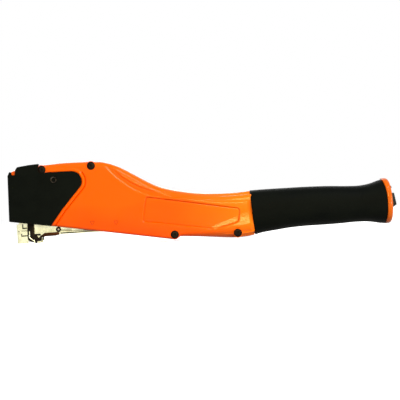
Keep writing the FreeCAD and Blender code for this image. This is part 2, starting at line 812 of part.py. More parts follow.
def pair(name, centre, radius, near, far):
    """Two like rods, one on each side of the split plane."""
    left = rod(name + "_left", centre, radius, -far, -near)
    right = rod(name + "_right", centre, radius, near, far)
    return group("Part::Compound", name, [left, right])


def headed_pair(name, centre, radius, head_radius, near, neck, far):
    """Two like rivets whose heads lie outside the frame."""
    items = []
    for side, label in ((-1, "left"), (1, "right")):
        spans = [(near, neck), (neck, far)]
        rods = []
        for part_name, size, (low, high) in zip(("shank", "head"), (radius, head_radius), spans):
            start, end = (-high, -low) if side < 0 else (low, high)
            rods.append(rod("%s_%s_%s" % (name, part_name, label), centre, size, start, end))
        items.append(group("Part::MultiFuse", "%s_%s" % (name, label), rods))
    return group("Part::Compound", name, items)


def spring_seat():
    """Saddle over the magazine's top web with a stub inside the return spring."""
    body = new_body("spring_seat")
    flap_out = frame_out + s.tray_thick
    front = s.spring_x - s.seat_front
    back = s.spring_x + s.seat_rear
    low = s.tray_low + s.tray_lip + s.side_gap
    top = web_top + s.seat_thick
    side_pad(body, "saddle", flap_out, -flap_out, outline=box_outline(front, low, back, top))
    side_cut(body, "saddle_room", frame_out, -frame_out,
             outline=box_outline(front - s.cut_over, low - s.cut_over, back + s.cut_over, web_top))
    stub_radius = s.spring_radius - s.spring_wire / 2 - s.side_gap
    prism(body, "Pad", "stub", "XY_Plane", top - s.seat_thick / 2, top + stub_radius,
          circles=[((s.spring_x, ZERO), stub_radius)])
    return body


def driver_blade():
    """Flat driver with a folded yoke whose slots run on the driver pin."""
    body = new_body("driver_blade")
    tip = strip_top + s.strip_gap
    side_pad(body, "blade", blade_half, -blade_half,
             outline=box_outline(-blade_back, tip, blade_back, yoke_top))
    side_pad(body, "yoke", blade_half, -blade_half,
             outline=box_outline(blade_back - s.blade_gap, yoke_low, yoke_back, yoke_top))
    inner = blade_half - s.yoke_thick
    side_cut(body, "yoke_room", inner, -inner,
             outline=box_outline(blade_back, yoke_low - s.cut_over, yoke_back + s.cut_over,
                                 yoke_top + s.cut_over))
    slot_half = s.driver_pin_radius + s.slot_gap
    slot_front = s.driver_pin_x - pin_drift
    low = s.driver_pin_z - slot_half
    high = s.driver_pin_z + slot_half
    slot = [(slot_front, low), (s.driver_pin_x, low), bend(s.driver_pin_x + slot_half, s.driver_pin_z),
            (s.driver_pin_x, high), (slot_front, high), bend(slot_front - slot_half, s.driver_pin_z)]
    wide = blade_half + s.cut_over
    side_cut(body, "pin_slots", wide, -wide, outline=slot)
    return body


# Rear ear of the tray about its hinge, in shares of its radius: where it rises, and a point on its arc
HINGE_EAR_SHARE = 2.0
HINGE_ARC_SHARES = (0.70, 0.714)


def staple_tray():
    """Shallow steel tray under the magazine, with lugs for the latch and ears for its hinge."""
    body = new_body("staple_tray")
    lip_top = s.tray_low + s.tray_lip
    ear = s.hinge_radius + s.frame_thick
    lug = s.latch_pin_radius + s.frame_thick
    ear_root = hinge[0] - ear * HINGE_EAR_SHARE
    arc_x, arc_z = HINGE_ARC_SHARES
    outline = [
        (s.tray_front, s.tray_low), (s.latch_x - lug, s.tray_low), (s.latch_x - lug, s.latch_z),
        bend(s.latch_x, s.latch_z - lug), (s.latch_x + lug, s.latch_z), (s.latch_x + lug, s.tray_low),
        (hinge[0], s.tray_low), (hinge[0] + ear, s.hinge_z),
        bend(hinge[0] + ear * arc_x, s.hinge_z + ear * arc_z),
        (hinge[0], s.hinge_z + ear), (ear_root, lip_top), (s.tray_front, lip_top),
    ]
    side_pad(body, "sides", tray_out, -tray_out, outline=outline)
    over = s.cut_over
    side_cut(body, "tray_room", tray_in, -tray_in,
             outline=box_outline(s.tray_front - over, floor_top, hinge[0] + ear + over,
                                 s.hinge_z + ear + over))
    side_cut(body, "lug_room", tray_in, -tray_in,
             outline=box_outline(s.latch_x - lug - over, s.latch_z - lug - over,
                                 s.latch_x + lug + over, s.tray_low))
    side_cut(body, "hinge_room", tray_in, -tray_in,
             outline=box_outline(ear_root + ear / 2, s.tray_low - over, hinge[0] + ear + over,
                                 floor_top + over))
    wide = tray_out + over
    side_cut(body, "pin_holes", wide, -wide,
             circles=[(hinge, s.hinge_radius + s.run_gap), (latch_pin, s.latch_pin_radius + s.run_gap)])
    side_cut(body, "stud_notches", wide, -wide, circles=[(locating_stud, s.locating_radius + s.side_gap)])
    return body


rail_rear = hinge[0] - s.frame_tail + s.staple_gap
slide_gap = s.strip_gap
bracket_rear = rail_rear - s.side_gap
bracket_front = bracket_rear - s.bracket_long


def staple_rail():
    """Hollow rail that the staples straddle, closed by a foot at the nose."""
    body = new_body("staple_rail")
    side_pad(body, "rail_block", rail_half, -rail_half,
             outline=box_outline(rail_front, floor_top, rail_rear, rail_top))
    foot_back = s.cheek_long - s.side_gap
    side_pad(body, "foot", rail_half, -rail_half,
             outline=box_outline(rail_front, s.side_gap, foot_back, floor_top + s.cut_over))
    hollow_half = rail_half - s.rail_wall
    over = s.cut_over
    side_cut(body, "hollow", hollow_half, -hollow_half,
             outline=box_outline(rail_front + s.foot_wall, floor_top, rail_rear + over,
                                 rail_top - s.rail_wall))
    prism(body, "Pocket", "top_slot", "XY_Plane", rail_top - s.rail_wall - over, rail_top + over,
          outline=[(rail_front + s.foot_wall, -s.rail_wall), (bracket_front, -s.rail_wall),
                   (bracket_front, s.rail_wall), (rail_front + s.foot_wall, s.rail_wall)])
    end_cut(body, "rod_hole", rail_front + s.foot_wall / 2, rail_front + s.foot_wall + over,
            circles=[((ZERO, s.rod_z), s.rod_radius + s.run_gap)])
    return body


def rod_bracket():
    """Block at the rear of the rail that holds the pusher rod."""
    body = new_body("rod_bracket")
    half = rail_half - s.rail_wall - s.run_gap
    side_pad(body, "bracket", half, -half,
             outline=box_outline(bracket_front, floor_top + s.run_gap, bracket_rear,
                                 rail_top - s.rail_wall - s.run_gap))
    end_cut(body, "rod_hole", bracket_front - s.cut_over, bracket_rear + s.cut_over,
            circles=[((ZERO, s.rod_z), s.rod_radius + s.run_gap)])
    return body


def pusher_rod():
    body = new_body("pusher_rod")
    end_pad(body, "rod", rail_front + s.foot_wall / 2, bracket_rear,
            circles=[((ZERO, s.rod_z), s.rod_radius)])
    return body


pusher_front = rail_front + s.side_gap
pusher_block_front = rail_front + s.foot_wall + s.side_gap
PUSHER_BLOCK_SHARE = 0.85
pusher_block_rear = pusher_front + s.pusher_long * PUSHER_BLOCK_SHARE


def pusher():
    """Saddle that feeds the staples, with a block inside the rail that the spring pushes."""
    body = new_body("pusher")
    half = s.staple_wide / 2
    top = strip_top
    low = floor_top + s.side_gap
    side_pad(body, "saddle", half, -half,
             outline=box_outline(pusher_front, low, pusher_front + s.pusher_long, top))
    room_half = rail_half + slide_gap
    side_cut(body, "saddle_room", room_half, -room_half,
             outline=box_outline(pusher_front - s.cut_over, low - s.cut_over,
                                 pusher_front + s.pusher_long + s.cut_over, rail_top + s.run_gap * 2))
    neck = s.rail_wall - slide_gap
    side_pad(body, "neck", neck, -neck,
             outline=box_outline(pusher_block_front, rail_top - s.rail_wall * 2, pusher_block_rear, top))
    block = rail_half - s.rail_wall - s.side_gap
    side_pad(body, "inner_block", block, -block,
             outline=box_outline(pusher_block_front, low, pusher_block_rear,
                                 rail_top - s.rail_wall - s.side_gap))
    end_cut(body, "rod_hole", pusher_block_front - s.cut_over, pusher_block_rear + s.cut_over,
            circles=[((ZERO, s.rod_z), s.rod_radius + s.run_gap)])
    return body


# Latch side outline: shares of the lever's length and of the arm's height, from the latch pin
LEVER_SHARES = [
    ("corner", 0.175, 0.155), ("corner", 0.375, 0.215), ("corner", 0.985, 0.280),
    ("corner", 1.000, 0.070), ("corner", 0.700, 0.035), ("corner", 0.190, -0.070),
    ("bend", 0.020, -0.166), ("corner", -0.175, -0.137), ("bend", -0.330, -0.060),
    ("corner", -0.405, 0.100),
]
ARM_FOOT_SHARE = 0.186
# Finger bar: its front, underside and rear, in the same shares
FINGER_BAR_SHARES = (0.70, 0.05, 0.99)


def latch():
    """Bell crank: two hooked arms beside the magazine, joined by a finger bar under the tray."""
    body = new_body("latch")
    hook_low = s.stud_z + s.stud_radius + s.side_gap
    hook_top = hook_low + s.hook_tall
    tall = hook_top - s.latch_z
    arm_front = s.latch_x + s.lever_long * LEVER_SHARES[-1][1]
    arm_back = arm_front + s.latch_arm
    beak = s.stud_x - s.stud_radius - s.side_gap
    outline = [(arm_front, hook_low), (beak, hook_low), (beak, hook_top), (arm_back, hook_top)]
    outline.append((arm_back, s.latch_z + tall * ARM_FOOT_SHARE))
    for kind, x_share, z_share in LEVER_SHARES:
        outline.append(placed(kind, s.latch_x + s.lever_long * x_share, s.latch_z + tall * z_share))
    side_pad(body, "arms", latch_out, -latch_out, outline=outline)
    side_cut(body, "magazine_room", latch_in, -latch_in,
             outline=box_outline(beak - s.cut_over, -s.cut_over, s.latch_x + s.lever_long + s.cut_over,
                                 hook_top + s.cut_over))
    front_share, low_share, rear_share = FINGER_BAR_SHARES
    bar = box_outline(s.latch_x + s.lever_long * front_share, s.latch_z + tall * low_share,
                      s.latch_x + s.lever_long * rear_share, s.tray_low - s.side_gap)
    side_pad(body, "finger_bar", latch_out, -latch_out, outline=bar)
    wide = latch_out + s.cut_over
    side_cut(body, "pin_holes", wide, -wide, circles=[(latch_pin, s.latch_pin_radius + s.run_gap)])
    return body


def grip_section(share, low_share, high_share, half_share, round_share):
    half = s.grip_half * half_share
    low = s.grip_mid_z + s.grip_high * low_share
    high = s.grip_mid_z + s.grip_high * high_share
    return s.body_long + s.grip_long * share, round_box(half, low, high, half * round_share)


# Grip stations: share of its length, low and high edges from its middle as shares of its
# height, half width as a share of its own, corner radius as a share of the half width
GRIP_SHARES = [
    (0.00, -0.552, 0.480, 0.98, 0.80), (0.16, -0.482, 0.486, 0.97, 0.84),
    (0.40, -0.435, 0.491, 0.96, 0.88), (0.60, -0.428, 0.478, 0.92, 0.90),
    (0.78, -0.408, 0.448, 0.90, 0.90), (0.88, -0.420, 0.456, 0.94, 0.90),
    (1.00, -0.462, 0.556, 1.02, 0.88),
]


def grip_sleeve():
    """Rubber sleeve moulded to the hand: a waist before a flared rear end."""
    body = new_body("grip_sleeve")
    sections = []
    for number, shares in enumerate(GRIP_SHARES, start=1):
        place, outline = grip_section(*shares)
        section = new_sketch(body, "section_%d" % number, "YZ_Plane", place)
        draw(section, outline)
        sections.append(section)
    loft = body.newObject("PartDesign::AdditiveLoft", "sleeve")
    loft.Profile = sections[0]
    loft.Sections = sections[1:]
    gap = s.grip_gap
    half = s.core_half + gap
    end_cut(body, "core_way", s.body_long - s.cut_over, butt + s.cut_over,
            outline=round_box(half, core_low - gap, core_top + gap, half * CORE_ROUND_SHARE))
    return body


cap_low = s.core_mid_z - s.cap_high / 2
cap_top = s.core_mid_z + s.cap_high / 2
cap_rear = butt + s.cap_long
door_pin = (cap_rear - s.knuckle_radius, s.core_mid_z + s.door_high / 2 + s.door_pin_radius)
door_low = s.core_mid_z - s.door_high / 2 + s.door_pin_radius


def end_cap():
    """Ring at the butt with a plug in the handle and a window into the storage space."""
    body = new_body("end_cap")
    end_pad(body, "ring", butt, cap_rear,
            outline=round_box(s.cap_half, cap_low, cap_top, s.cap_half * CORE_ROUND_SHARE))

    def rear_edge(point, direction):
        return point.x > cap_rear.value - ON_FACE

    fillet(body, "rear_rounding", s.cap_round, rear_edge)
    plug_low = core_low + s.core_wall + s.grip_gap
    plug_top = core_top - s.core_wall - s.grip_gap
    plug_half = bore_half - s.grip_gap
    end_pad(body, "plug", butt - s.cap_plug, butt + s.cap_round,
            outline=round_box(plug_half, plug_low, plug_top, plug_half * CORE_ROUND_SHARE))
    wall = s.core_wall
    end_cut(body, "storage_way", butt - s.cap_plug - s.cut_over, cap_rear + s.cut_over,
            outline=round_box(plug_half - wall, plug_low + wall, plug_top - wall,
                              (plug_half - wall) * WAY_ROUND_SHARE))
    recess_front = door_pin[0] - s.knuckle_radius - s.door_gap
    door_out = s.door_half + s.door_gap
    recess = box_outline(recess_front, door_low - s.door_gap, cap_rear + s.cut_over,
                         door_pin[1] + s.knuckle_radius + s.door_gap)
    side_cut(body, "door_recess", door_out, -door_out, outline=recess)
    pin_out = s.door_half + s.core_wall
    side_cut(body, "pin_hole", pin_out, -pin_out, circles=[(door_pin, s.door_pin_radius + s.run_gap)])
    return body


# Finger wedge: half width and foot as shares of the door's, then how far it stands out at foot, tip and top
TAB_HALF_SHARE = 0.55
TAB_LOW_SHARE = 0.22
TAB_OUT_SHARES = (0.1, 0.6, 0.3)


def storage_door():
    """Door over the storage space, hinged at its top, with a wedge for the finger."""
    body = new_body("storage_door")
    inner = cap_rear - s.door_thick
    half = s.door_half
    side_pad(body, "leaf", half, -half,
             outline=box_outline(inner, door_low, cap_rear, door_pin[1]))
    side_pad(body, "knuckle", half, -half, circles=[(door_pin, s.knuckle_radius)])
    tab_half = half * TAB_HALF_SHARE
    foot_share, tip_share, top_share = TAB_OUT_SHARES
    low = door_low + s.door_high * TAB_LOW_SHARE
    high = door_pin[1] - s.knuckle_radius * 2
    wedge = [(cap_rear - s.door_thick / 2, low), (cap_rear + s.tab_out * foot_share, low),
             (cap_rear + s.tab_out, low + s.tab_out * tip_share), (cap_rear + s.tab_out * top_share, high),
             (cap_rear - s.door_thick / 2, high)]
    side_pad(body, "wedge", tab_half, -tab_half, outline=wedge)
    over = half + s.cut_over
    side_cut(body, "pin_hole", over, -over, circles=[(door_pin, s.door_pin_radius + s.run_gap)])
    return body


def arc_between(start, finish, tangent):
    """Circular arc that leaves the start along the tangent and ends at the finish."""
    chord = finish - start
    cosine = chord.dot(tangent) / chord.Length
    apex = start + tangent * (chord.Length / (2 * cosine))
    middle = (start + finish) / 2
    return Part.Arc(start, middle + (apex - middle) * (cosine / (1 + cosine)), finish).toShape()


def biarc(start, start_way, finish, finish_way):
    """Two arcs that meet smoothly and keep the given direction at each end."""
    chord = finish - start
    ways = start_way + finish_way
    bent = 2 * (1 - start_way.dot(finish_way))
    along_ways = chord.dot(ways)
    reach = (-along_ways + math.sqrt(along_ways ** 2 + bent * chord.dot(chord))) / bent
    joint = (start + start_way * reach + finish - finish_way * reach) / 2
    first = arc_between(start, joint, start_way)
    middle_way = finish - finish_way * reach - start - start_way * reach
    return [first, arc_between(joint, finish, middle_way.normalize())]


COIL_SAMPLES = 400


def coil(name, base, frame, radius, wire, length, start_turn, turns, legs=(0.0, 0.0)):
    """Wound wire about frame[2]; frame[0] and frame[1] span its rings; legs leave it straight."""
    across, up, axis = frame
    pitch = (length - wire) / turns

    def place(turn):
        angle = 2 * math.pi * (start_turn + turn)
        ring = across * math.cos(angle) + up * math.sin(angle)
        return base + ring * radius + axis * (wire / 2 + pitch * turn)

    def way(turn):
        angle = 2 * math.pi * (start_turn + turn)
        ring = up * math.cos(angle) - across * math.sin(angle)
        return (ring * (2 * math.pi * radius) + axis * pitch).normalize()

    quarters = max(4, round(turns * 4))
    step = turns / quarters
    edges = []
    if legs[0] > 0:
        edges.append(Part.LineSegment(place(0) - way(0) * legs[0], place(0)).toShape())
    for quarter in range(quarters):
        first, second = quarter * step, (quarter + 1) * step
        edges += biarc(place(first), way(first), place(second), way(second))
    if legs[1] > 0:
        edges.append(Part.LineSegment(place(turns), place(turns) + way(turns) * legs[1]).toShape())
    path = Part.Wire(edges)
    begin = edges[0].valueAt(edges[0].FirstParameter)
    heading = edges[0].tangentAt(edges[0].FirstParameter)
    ring = Part.Wire([Part.Circle(begin, heading, wire / 2).toShape()])
    solid = path.makePipeShell([ring], True, False)
    samples = [place(turns * number / COIL_SAMPLES) for number in range(COIL_SAMPLES + 1)]
    apart = min((a.distanceToPoint(b), number, other)
                for number, a in enumerate(samples) for other, b in enumerate(samples)
                if (other - number) * turns / COIL_SAMPLES > 0.5)
    print("%s: least gap to itself %.2f mm" % (name, apart[0] - wire))
    item = doc.addObject("Part::Feature", name)
    item.Label = name
    item.Shape = solid
    return item


X_WAY = FreeCAD.Vector(1, 0, 0)
Y_WAY = FreeCAD.Vector(0, 1, 0)
Z_WAY = FreeCAD.Vector(0, 0, 1)
QUARTER_TURN = 0.25

def return_spring():
    """Compression spring between the saddle and the hammer block's arm."""
    base = FreeCAD.Vector(s.spring_x.value, 0, (web_top + s.seat_thick).value)
    return coil("return_spring", base, (X_WAY, Y_WAY, Z_WAY), s.spring_radius.value,
                s.spring_wire.value, s.spring_high.value, 0.0, s.spring_turns.value)


def pusher_spring():
    """Long weak spring on the pusher rod."""
    base = FreeCAD.Vector(pusher_block_rear.value, 0, s.rod_z.value)
    length = bracket_front.value - pusher_block_rear.value
    return coil("pusher_spring", base, (Y_WAY, Z_WAY, X_WAY), s.coil_radius.value,
                s.coil_wire.value, length, 0.0, s.coil_turns.value)


def latch_spring():
    """Torsion spring on the latch pin: one leg under the tray, one under the finger bar."""
    length = s.latch_arm.value
    base = FreeCAD.Vector(s.latch_x.value, -length / 2, s.latch_z.value)
    return coil("latch_spring", base, (X_WAY, Z_WAY, Y_WAY), s.coil_radius.value,
                s.coil_wire.value, length, QUARTER_TURN,
                s.latch_spring_turns.value, legs=(0.0, s.lever_long.value / 2))


pivot_tip = s.body_half - s.shell_wall / 2
washer_out = tray_out - s.run_gap

nodes = [
    shell("left_shell", -1),
    shell("right_shell", 1),
    head_guard(),
    head_rivet(),
    rod("stop_pin", stop_pin, s.stop_pin_radius, -pivot_tip, pivot_tip),
    body_screws(),
    body_nuts(),
    hammer_block(),
    rod("driver_pin", driver_pin, s.driver_pin_radius, -blade_half, blade_half),
    bumper(),
    rod("pivot_pin", pivot, s.pivot_radius, -pivot_tip, pivot_tip),
    return_spring(),
    grip_sleeve(),
    end_cap(),
    storage_door(),
    rod("door_pin", door_pin, s.door_pin_radius, -s.door_half - s.core_wall, s.door_half + s.core_wall),
    magazine_frame(),
    nose_plate(),
    headed_pair("nose_rivets", nose_rivet, s.nose_rivet_radius, s.stud_radius, frame_in,
                frame_out + s.tray_thick, frame_out + s.tray_thick + s.nose_rivet_tall),
    pair("catch_studs", catch_stud, s.stud_radius, frame_in, latch_out),
    headed_pair("locating_studs", locating_stud, s.stud_radius, s.locating_radius, frame_in,
                frame_out, latch_in - s.side_gap / 2),
    spring_seat(),
    rod("tray_hinge_pin", hinge, s.hinge_radius, -tray_out - s.side_gap, tray_out + s.side_gap),
    staple_tray(),
    staple_rail(),
    pusher_rod(),
    rod_bracket(),
    rod("latch_pin", latch_pin, s.latch_pin_radius, -latch_out - s.side_gap, latch_out + s.side_gap),
    latch(),
    latch_spring(),
    pusher(),
    pusher_spring(),
    driver_blade(),
]
washers = []
for side, label in ((-1, "left"), (1, "right")):
    near, far = frame_out + s.run_gap, washer_out
    start, end = (-far, -near) if side < 0 else (near, far)
    disc = rod("washer_disc_" + label, pivot, s.pivot_radius + s.shell_wall / 2, start, end)
    hole = rod("washer_hole_" + label, pivot, s.pivot_radius + s.run_gap, start, end)
    washers.append(minus("washer_" + label, disc, hole))
nodes.append(group("Part::Compound", "pivot_washers", washers))
for node in nodes:
    if node.TypeId == "PartDesign::Body":
        node.Tip.Refine = True

doc.recompute()
for item in doc.Objects:
    if "Invalid" in item.State or "Error" in item.State:
        raise RuntimeError("%s failed: %s" % (item.Label, item.State))
for node in nodes:
    if node.Shape.isNull() or not node.Shape.isValid() or not node.Shape.Solids:
        raise RuntimeError("%s has no sound shape" % node.Label)

os.makedirs("parts", exist_ok=True)
for node in nodes:
    node.Shape.exportStep(os.path.join("parts", node.Label + ".step"))
print("%d nodes written" % len(nodes))
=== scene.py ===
import math

import bpy
import numpy as np
from mathutils import Matrix, Vector


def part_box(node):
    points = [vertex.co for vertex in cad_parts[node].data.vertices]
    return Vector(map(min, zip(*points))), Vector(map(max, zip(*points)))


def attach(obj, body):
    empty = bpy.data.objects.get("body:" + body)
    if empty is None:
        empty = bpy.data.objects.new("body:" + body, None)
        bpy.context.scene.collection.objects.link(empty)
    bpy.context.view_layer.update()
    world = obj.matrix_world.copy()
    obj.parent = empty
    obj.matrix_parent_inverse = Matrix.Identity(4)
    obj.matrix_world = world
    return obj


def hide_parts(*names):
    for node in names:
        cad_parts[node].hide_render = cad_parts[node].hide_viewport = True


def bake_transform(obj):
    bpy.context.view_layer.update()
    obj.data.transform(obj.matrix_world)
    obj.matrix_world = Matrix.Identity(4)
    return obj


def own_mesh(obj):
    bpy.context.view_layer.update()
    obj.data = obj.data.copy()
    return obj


# A hammer tacker on a plain white floor. New pieces are worked out in millimetres in the
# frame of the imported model: +X runs to the butt, +Z up, and the tool's left side is -Y.

MM = 0.001
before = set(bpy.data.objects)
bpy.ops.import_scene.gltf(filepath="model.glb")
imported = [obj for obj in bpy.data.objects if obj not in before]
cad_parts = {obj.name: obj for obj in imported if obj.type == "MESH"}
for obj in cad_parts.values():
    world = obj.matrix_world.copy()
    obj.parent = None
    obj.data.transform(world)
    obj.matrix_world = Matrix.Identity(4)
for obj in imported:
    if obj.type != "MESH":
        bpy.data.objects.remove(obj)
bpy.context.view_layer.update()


def box_mm(node):
    """Lowest and highest corner of a node of the frame, in millimetres."""
    low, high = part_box(node)
    return np.array(low) / MM, np.array(high) / MM


def side_middle(low, high):
    """Middle of a box in the side view."""
    return (low[0] + high[0]) / 2, (low[2] + high[2]) / 2


SHELL_LOW = box_mm("left_shell")[0]
GUARD_LOW, GUARD_HIGH = box_mm("head_guard")
GRIP_LOW, GRIP_HIGH = box_mm("grip_sleeve")
CAP_LOW, CAP_HIGH = box_mm("end_cap")
DOOR_LOW, DOOR_HIGH = box_mm("storage_door")
RIVET_LOW, RIVET_HIGH = box_mm("head_rivet")
SCREWS_LOW, SCREWS_HIGH = box_mm("body_screws")
NOSE_LOW, NOSE_HIGH = box_mm("nose_plate")

BODY_HALF = -SHELL_LOW[1]
BODY_FRONT = SHELL_LOW[0]
BODY_REAR = GRIP_LOW[0] - 1.1
WALL = 2.5
SLOT_HALF = 10.6  # half the open slot in the belly that the magazine swings through
SLOT_END = 132.0
SEAM_LEAN = 2.6  # how far the seam of body and grip leans forward over its height

# Side view of the body: the crest and the belly, from the front to the grip
CREST = [
    (-6.0, 60.5), (-5.4, 63.2), (-3.4, 65.3), (0.5, 66.3), (2.2, 67.2), (8.0, 68.5), (16.0, 69.1),
    (24.0, 69.3), (34.0, 69.9), (47.0, 70.4), (62.0, 70.2), (76.0, 69.3), (84.0, 67.3),
    (91.0, 64.5), (98.0, 60.7), (108.0, 54.7), (118.5, 48.6), (125.5, 45.2), (132.6, 42.7),
    (143.0, 40.0), (161.0, 36.7), (175.0, 35.2), (190.0, 34.7), (212.0, 35.5),
]
BELLY = [
    (-6.0, 20.23), (60.0, 9.19), (120.0, -0.85), (134.5, -3.3), (139.1, -3.9), (142.0, -2.9),
    (144.2, -1.6), (158.8, -2.6), (173.1, -3.9), (187.5, -5.1), (196.0, -5.5), (204.0, -5.1),
    (212.0, -3.9),
]
CREASE_HIGH = [
    (74.0, 71.5), (78.6, 68.7), (88.9, 60.4), (97.5, 52.7), (106.2, 47.2), (115.0, 43.1),
    (127.3, 38.6), (141.6, 35.6), (155.0, 33.2), (170.0, 31.6), (190.0, 30.8), (212.0, 31.0),
]
CREASE_LOW = [
    (76.0, 70.5), (80.2, 65.4), (87.8, 56.4), (97.3, 48.2), (106.0, 42.2), (116.5, 37.2),
    (130.0, 33.5),
]

# Middles of the four screws, the rivet and the locating stud, from the left side
SCREWS = [(23.4, 65.1), (67.6, 66.1), (139.1, 0.3), (195.6, -1.3)]
RIVET = side_middle(RIVET_LOW, RIVET_HIGH)
STUD = side_middle(*box_mm("locating_studs"))
SEAT_RADIUS = 3.8
SEAT_LEVEL = BODY_HALF - 2.6
NUT_SEAT_RADIUS = 3.2
NUT_LEVEL = BODY_HALF - 3.2
BOSS_RADIUS = 4.3
POST_RADIUS = 3.0

# Outlines with a radius for each corner: x, z, radius
LABEL = [
    (114.4, 36.6, 3.5), (199.6, 21.2, 4.0), (197.6, 7.6, 5.0), (176.0, 2.4, 9.0),
    (109.8, 13.0, 3.0),
]
GUARD_SIDE = [
    (28.6, 13.85, 0.5), (39.9, 28.7, 30.0), (58.9, 50.0, 7.0), (58.6, 55.3, 5.0), (56.2, 60.2, 5.0),
    (51.2, 62.3, 6.0), (25.43, 62.5, 0.3), (24.5, 61.77, 3.3), (22.13, 61.83, 3.3),
    (20.34, 63.39, 3.3), (19.95, 65.72, 3.3), (21.6, 70.5, 0.6), (12.0, 69.9, 20.0),
    (1.9, 68.6, 0.7), (0.0, 66.0, 1.0), (-0.4, 61.7, 0.6), (-3.5, 61.7, 0.6), (-3.6, 65.0, 0.4),
]
GUARD_TOP_BACK = 64.6
GUARD_TOP_FRONT = 61.4

# Moulded line beside the guard: a bead along the guard's edge, and a groove at a distance from it
BEAD_HALF, BEAD_TALL = 1.3, 0.65
GROOVE_AT, GROOVE_HALF, GROOVE_DEEP = 3.1, 0.6, 0.9


# Curves and outlines

def flowing(x, points):
    """Smooth line through points: a cubic in each interval, whose end slopes are harmonic means.

    The means keep the line from overshooting, and where it turns back its slope is 0.
    """
    at, level = np.array(points, float).T
    step = np.diff(at)
    rise = np.diff(level) / step
    slope = np.zeros_like(level)
    slope[0], slope[-1] = rise[0], rise[-1]
    left, right = 2 * step[1:] + step[:-1], step[1:] + 2 * step[:-1]
    safe = np.where(rise == 0, 1, rise)
    mean = (left + right) / (left / safe[:-1] + right / safe[1:])
    slope[1:-1] = np.where(rise[:-1] * rise[1:] > 0, mean, 0)
    k = np.clip(np.searchsorted(at, x, side="right") - 1, 0, len(at) - 2)
    t = np.clip((x - at[k]) / step[k], 0, 1)
    start = level[k] * (1 + 2 * t) * (1 - t) ** 2 + step[k] * slope[k] * t * (1 - t) ** 2
    finish = level[k + 1] * t * t * (3 - 2 * t) + step[k] * slope[k + 1] * t * t * (t - 1)
    return start + finish


def ease(x, start, end):
    """0 before start, 1 after end and a smooth step between them."""
    t = np.clip((x - start) / (end - start), 0, 1)
    return t * t * (3 - 2 * t)


def rounded(corners, degrees=7.5):
    """Closed outline whose corners are arcs of their own radius, about a centre on the bisector."""
    place = np.array([corner[:2] for corner in corners], float)
    points = []
    for k, corner in enumerate(corners):
        here = place[k]
        before, after = place[k - 1] - here, place[(k + 1) % len(place)] - here
        reach_before, reach_after = np.linalg.norm(before), np.linalg.norm(after)
        before, after = before / reach_before, after / reach_after
        half = math.acos(np.clip(before @ after, -1, 1)) / 2
        reach = min(corner[2] / math.tan(half), 0.49 * reach_before, 0.49 * reach_after)
        radius = reach * math.tan(half)
        middle = before + after
        centre = here + middle / np.linalg.norm(middle) * radius / math.sin(half)
        first, last = here + before * reach - centre, here + after * reach - centre
        turn = math.pi - 2 * half
        steps = max(2, math.ceil(math.degrees(turn) / degrees))
        t = np.linspace(0, 1, steps + 1)[:, None]
        arc = np.sin((1 - t) * turn) * first + np.sin(t * turn) * last
        points.append(centre + arc / math.sin(turn))
    return np.concatenate(points)


def ring(centre, radius, corners=64):
    """Closed round outline, or a regular polygon where the corners are few."""
    angle = np.linspace(0, 2 * math.pi, corners, endpoint=False)
    return np.stack([centre[0] + radius * np.cos(angle), centre[1] + radius * np.sin(angle)], -1)


def oval(angle, half, low, high, power):
    """Superellipse about its own middle, by the distance from the middle at each angle."""
    tall = (high - low) / 2
    across, up = np.abs(np.cos(angle)) / half, np.abs(np.sin(angle)) / tall
    reach = (across ** power + up ** power) ** (-1 / power)
    return reach * np.cos(angle), (low + high) / 2 + reach * np.sin(angle)


def nearest(loop, points):
    """Distance to a closed outline, negative inside it, and the nearest point on it, for each point."""
    start, end = loop, np.roll(loop, -1, 0)
    way = end - start
    t = ((points[:, None] - start) * way).sum(-1) / (way ** 2).sum(-1)
    near = start + np.clip(t, 0, 1)[..., None] * way
    gap = np.linalg.norm(points[:, None] - near, axis=-1)
    best = gap.argmin(1)
    row = np.arange(len(points))
    crosses = (start[:, 1] > points[:, 1:]) != (end[:, 1] > points[:, 1:])
    drop = np.where(way[:, 1] == 0, 1, way[:, 1])
    at = start[:, 0] + (points[:, 1:] - start[:, 1]) / drop * way[:, 0]
    inside = (crosses & (points[:, :1] < at)).sum(1) % 2 == 1
    return np.where(inside, -1, 1) * gap[row, best], near[row, best]


def beside(way):
    """Unit vectors square to the ways of a flat path."""
    return np.stack([way[:, 1], -way[:, 0]], -1) / np.linalg.norm(way, axis=1)[:, None]


def at_level(loop, level):
    """An outline of the side view as a ring at a distance from the split plane."""
    return np.stack([loop[:, 0], np.full(len(loop), level), loop[:, 1]], -1)


# Meshes

def lattice(count, corners, closed=False, wrapped=True):
    """Quads that join each ring of corners to the next, and the last to the first where closed."""
    first = np.arange(count if closed else count - 1)
    i, j = np.meshgrid(first, np.arange(corners if wrapped else corners - 1), indexing="ij")
    here, there = i * corners, (i + 1) % count * corners
    j_next = (j + 1) % corners
    return np.stack([here + j, there + j, there + j_next, here + j_next], -1).reshape(-1, 4).tolist()


def tube(rings, closed=False):
    """Solid from closed rings of equal count, with flat ends or with its last ring joined to the first."""
    rings = np.asarray(rings, float)
    count, corners = rings.shape[:2]
    faces = lattice(count, corners, closed)
    if not closed:
        faces.append(list(range(corners)))
        faces.append(list(range(count * corners - 1, (count - 1) * corners - 1, -1)))
    return outward(rings.reshape(-1, 3), faces)


def outward(vertices, faces):
    """The same closed solid with its faces turned outwards, by the sign of the volume they enclose."""
    fans = [(face[0], face[k], face[k + 1]) for face in faces for k in range(1, len(face) - 1)]
    corner = vertices[np.array(fans)]
    volume = np.einsum("ij,ij->i", corner[:, 0], np.cross(corner[:, 1], corner[:, 2])).sum()
    return vertices, faces if volume > 0 else [face[::-1] for face in faces]


